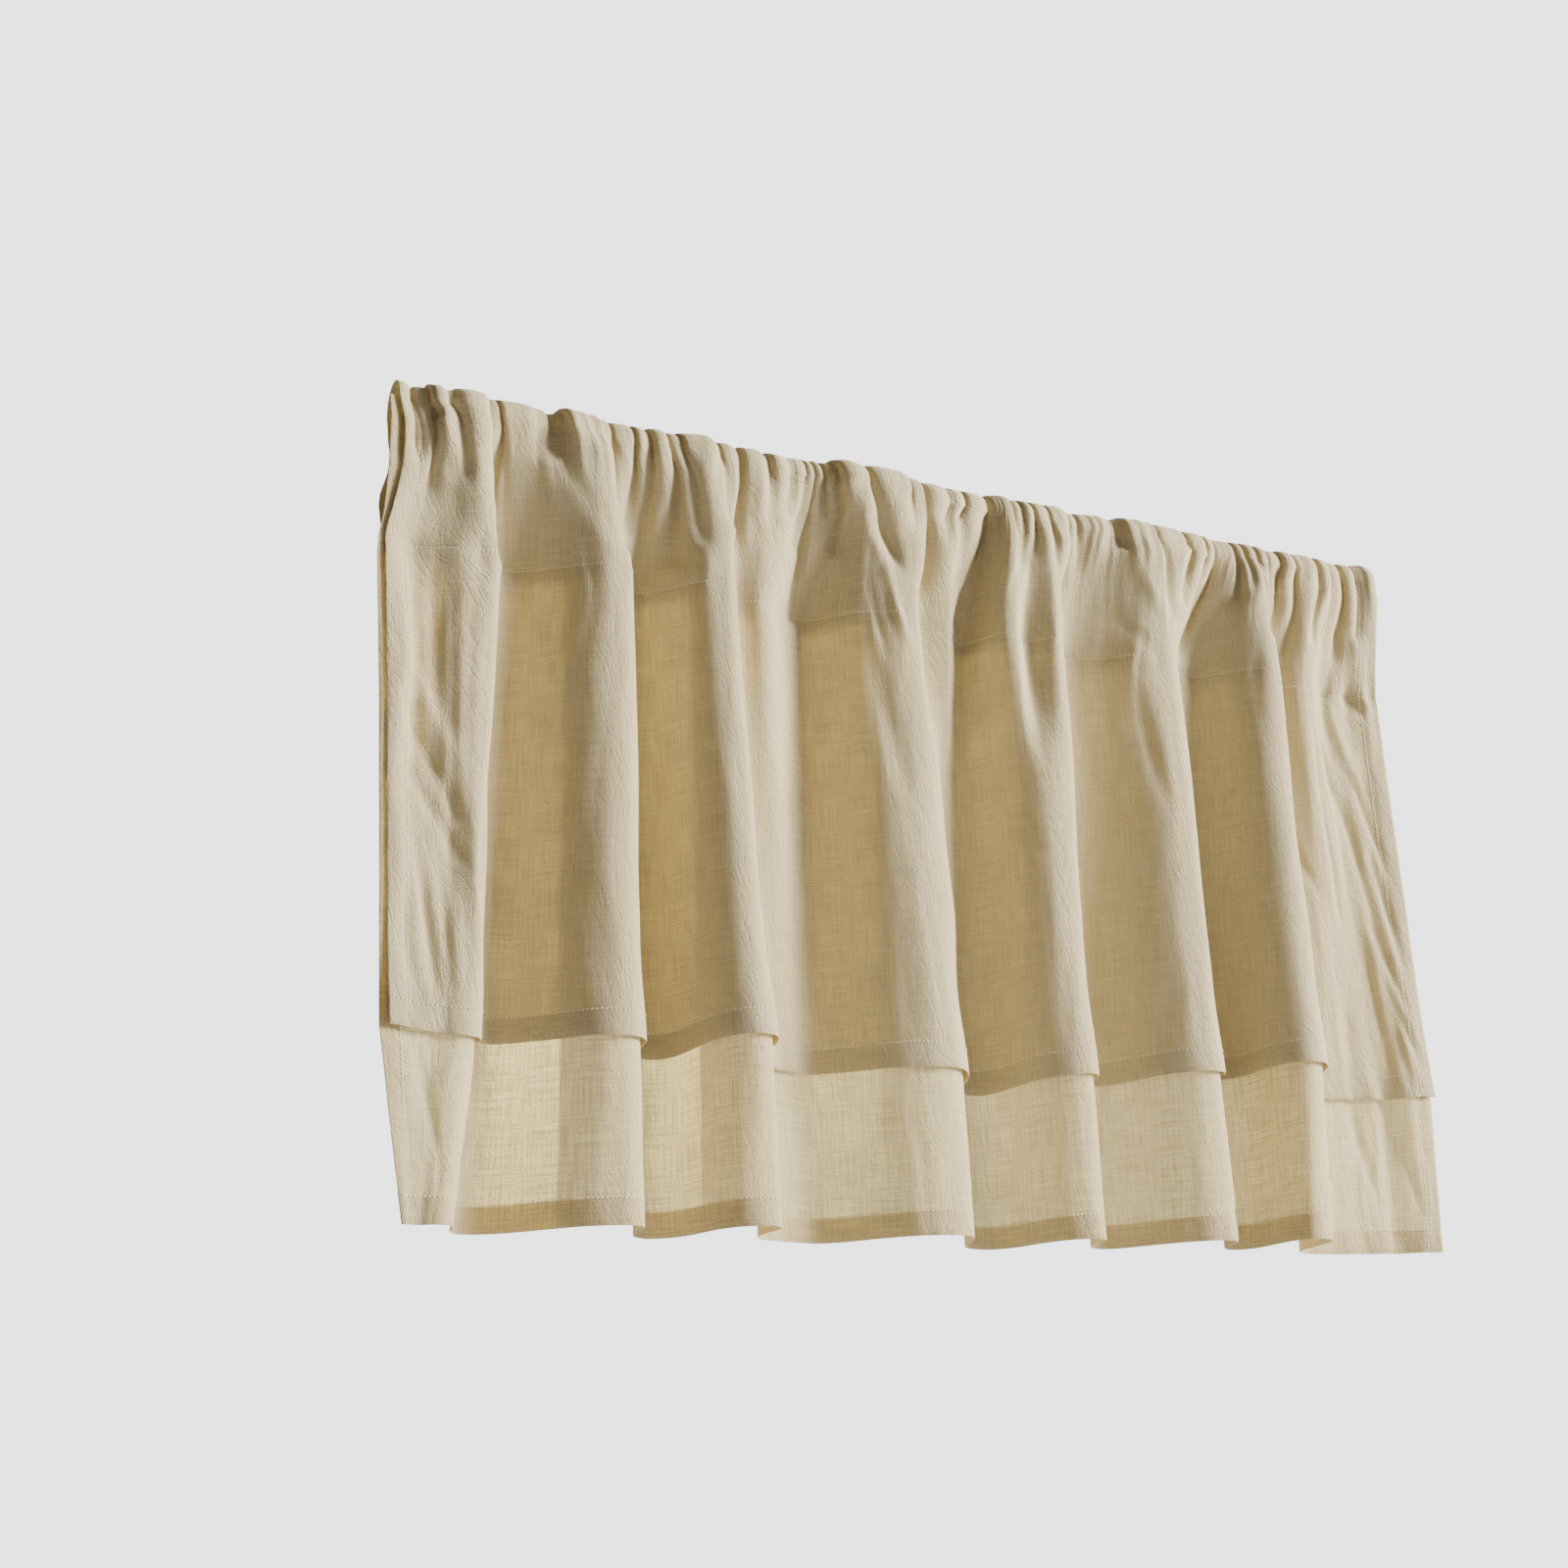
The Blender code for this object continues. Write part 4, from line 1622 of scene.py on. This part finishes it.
@dataclass
class CafeCurtain:
    """The whole curtain: two tiers and their stitching."""

    shape: TierShape
    layer_gap: float = 0.0007

    def dress(self) -> None:
        """Build every piece, give it its finish and bind it to the frame."""
        weave = plain_weave_group()
        crumple = crumple_group()
        front_finish = LinenFinish(
            "front linen", Colour(0.66, 0.555, 0.33), Colour(0.78, 0.64, 0.28)
        )
        back_finish = LinenFinish(
            "back linen",
            Colour(0.68, 0.57, 0.34),
            Colour(1.0, 0.81, 0.36),
            through_share=0.29,
        )
        front_flat = self.shape.front()
        back_flat = self.shape.back()
        self.tier(Tier.FRONT, front_flat, front_finish.material(weave, crumple))
        self.tier(Tier.BACK, back_flat, back_finish.material(weave, crumple))
        self.stitching(front_flat, back_flat)

    def tier(self, tier: Tier, cloth: Cloth, material: bpy.types.Material) -> None:
        """Make one tier's piece.

        Args:
            tier: Which tier it is.
            cloth: Its cloth before hemming.
            material: Its finish.
        """
        hemmed = cloth.hemmed(LENGTHS.hem, LENGTHS.side_hem, self.layer_gap)
        name = "front_tier" if tier is Tier.FRONT else "back_tier"
        piece = grid_object(name, hemmed)
        piece.data.materials.append(material)
        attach(piece, "root")
        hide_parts(tier.value)

    def stitching(self, front: Cloth, back: Cloth) -> None:
        """Sew the pocket's seam and the hems of both tiers.

        Args:
            front: The front tier's cloth before hemming.
            back: The back tier's cloth before hemming.
        """
        thread = ThreadFinish().material()
        row = StitchRow()
        for name, cloth, slot, drops in (
            ("front_stitching", front, "front_linen", (POCKET.seam_drop, self.shape.front_stitch)),
            ("back_stitching", back, "back_linen", (self.shape.back_stitch,)),
        ):
            out = directions(cloth.points)[2]
            parts = []
            for drop in drops:
                place = int(np.abs(cloth.along - (drop - POCKET.top_to_axis)).argmin())
                parts.append(row.points_along(cloth.points[place], out[place]))
            for edge in (LENGTHS.side_hem, cloth.across[-1] - LENGTHS.side_hem):
                place = int(np.abs(cloth.across - edge).argmin())
                parts.append(row.points_along(cloth.points[:, place], out[:, place]))
            piece = joined_object(name, parts)
            piece.data.materials.append(thread)
            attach(piece, "root")
            LOG.info("%s: %d faces", name, len(piece.data.polygons))


class LampKind(Enum):
    """The kinds of light that the studio uses."""

    SOFT_BOX = "AREA"
    BEAM = "SPOT"


@dataclass(frozen=True)
class Lamp:
    """A light that stands at a place and faces a target."""

    name: str
    kind: LampKind
    place: tuple[float, float, float]
    target: tuple[float, float, float]
    power: float
    colour: Colour

    def light(self) -> bpy.types.Light:
        """Add the light to the scene.

        Returns:
            The light's data, for its size.
        """
        data = bpy.data.lights.new(self.name, self.kind.value)
        data.energy = self.power
        data.color = self.colour.rgba[:3]
        lamp = bpy.data.objects.new(self.name, data)
        bpy.context.scene.collection.objects.link(lamp)
        facing = (Vector(self.target) - Vector(self.place)).to_track_quat("-Z", "Y")
        lamp.matrix_world = Matrix.Translation(self.place) @ facing.to_matrix().to_4x4()
        return data


@dataclass
class Studio:
    """The camera, the lights and the pale floor.

    The camera stands off the curtain's top left corner. right and up are the
    picture's own directions.
    """

    lens: float = 61.4
    sensor_width: float = 36.0
    camera_from_corner: tuple[float, float, float] = (-0.662, -1.577, -0.854)
    corner_x: float = -0.455
    right: tuple[float, float, float] = (0.8598, -0.5072, -0.0589)
    up: tuple[float, float, float] = (-0.1054, -0.2891, 0.9515)
    room_light: Lamp = Lamp(
        "room light", LampKind.SOFT_BOX, (5.25, -3.1, 1.1), (0.0, 0.0, -0.27), 1750.0,
        Colour(1.0, 0.97, 0.93),
    )
    room_light_size: float = 2.4
    low_sun: Lamp = Lamp(
        "low sun", LampKind.BEAM, (7.4, 3.1, 1.2), (-3.0, 0.0, -0.3), 12500.0,
        Colour(1.0, 0.96, 0.82),
    )
    sun_cone: float = math.radians(13.4)
    sun_edge: float = 0.12
    sun_softness: float = 0.13
    bright_side: tuple[float, float, float] = (0.50, 0.81, 0.30)
    bright_range: tuple[float, float] = (0.3, 0.9)
    bright_strength: float = 2.9
    dim_strength: float = 0.08
    bright_colour: Colour = Colour(1.0, 1.0, 1.0)
    dim_colour: Colour = Colour(0.88, 0.95, 1.07)
    floor_height: float = -1.3
    floor_half: float = 2.4
    floor_colour: Colour = Colour(0.5, 0.5, 0.49)
    floor_roughness: float = 0.9

    def set_up(self) -> None:
        """Place the camera, the lights, the world and the floor."""
        self.place_camera()
        self.place_lights()
        self.light_world()
        self.lay_floor()

    def place_camera(self) -> None:
        """Put the camera at the photograph's viewing angle."""
        data = bpy.data.cameras.new("camera")
        data.lens = self.lens
        data.sensor_width = self.sensor_width
        camera = bpy.data.objects.new("camera", data)
        bpy.context.scene.collection.objects.link(camera)
        right = Vector(self.right).normalized()
        up = Vector(self.up)
        up = (up - up.dot(right) * right).normalized()
        facing = Matrix((right, up, right.cross(up))).transposed().to_4x4()
        corner = Vector((self.corner_x, 0.0, POCKET.top_to_axis))
        place = corner + Vector(self.camera_from_corner)
        camera.matrix_world = Matrix.Translation(place) @ facing
        bpy.context.scene.camera = camera

    def place_lights(self) -> None:
        """Add a soft light in the room and a low sun behind, to the right."""
        self.room_light.light().size = self.room_light_size
        sun = self.low_sun.light()
        sun.spot_size = self.sun_cone
        sun.spot_blend = self.sun_edge
        sun.shadow_soft_size = self.sun_softness

    def light_world(self) -> None:
        """Add the world: dim and a little cool, and bright on one side.

        How bright it is follows the dot product of the direction and the
        bright side, eased between two values.
        """
        world = bpy.data.worlds.new("studio")
        world.use_nodes = True
        sheet = NodeSheet(world.node_tree)
        toward = sheet.add("ShaderNodeVectorMath", operation="DOT_PRODUCT")
        sheet.feed(toward.inputs[0], sheet.add("ShaderNodeTexCoord").outputs["Generated"])
        sheet.feed(toward.inputs[1], self.bright_side)
        glow = sheet.ramp(toward.outputs["Value"], *self.bright_range)
        bright = sheet.math("MULTIPLY", glow, self.bright_strength)
        shade = world.node_tree.nodes["Background"]
        colour = sheet.mix(glow, self.dim_colour.rgba, self.bright_colour.rgba)
        sheet.feed(shade.inputs["Color"], colour)
        sheet.feed(shade.inputs["Strength"], sheet.math("ADD", bright, self.dim_strength))
        bpy.context.scene.world = world

    def lay_floor(self) -> None:
        """Add a plain pale floor below the curtain."""
        mesh = bpy.data.meshes.new("floor")
        signs = ((-1, -1), (1, -1), (1, 1), (-1, 1))
        half = self.floor_half
        corners = [(half * x, half * y, self.floor_height) for x, y in signs]
        mesh.from_pydata(corners, [], [(0, 1, 2, 3)])
        floor = bpy.data.objects.new("floor", mesh)
        bpy.context.scene.collection.objects.link(floor)
        material = bpy.data.materials.new("pale floor")
        material.use_nodes = True
        shader = material.node_tree.nodes["Principled BSDF"]
        shader.inputs["Base Color"].default_value = self.floor_colour.rgba
        shader.inputs["Roughness"].default_value = self.floor_roughness
        mesh.materials.append(material)


def write_sizes() -> None:
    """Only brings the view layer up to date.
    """
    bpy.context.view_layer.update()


def main() -> None:
    """Build the curtain and the studio."""
    logging.basicConfig(level=logging.INFO, format="%(name)s: %(message)s")
    shape = TierShape()
    CafeCurtain(shape).dress()
    Studio().set_up()
    bpy.context.view_layer.update()
    write_sizes()


if __name__ == "__main__":
    main()
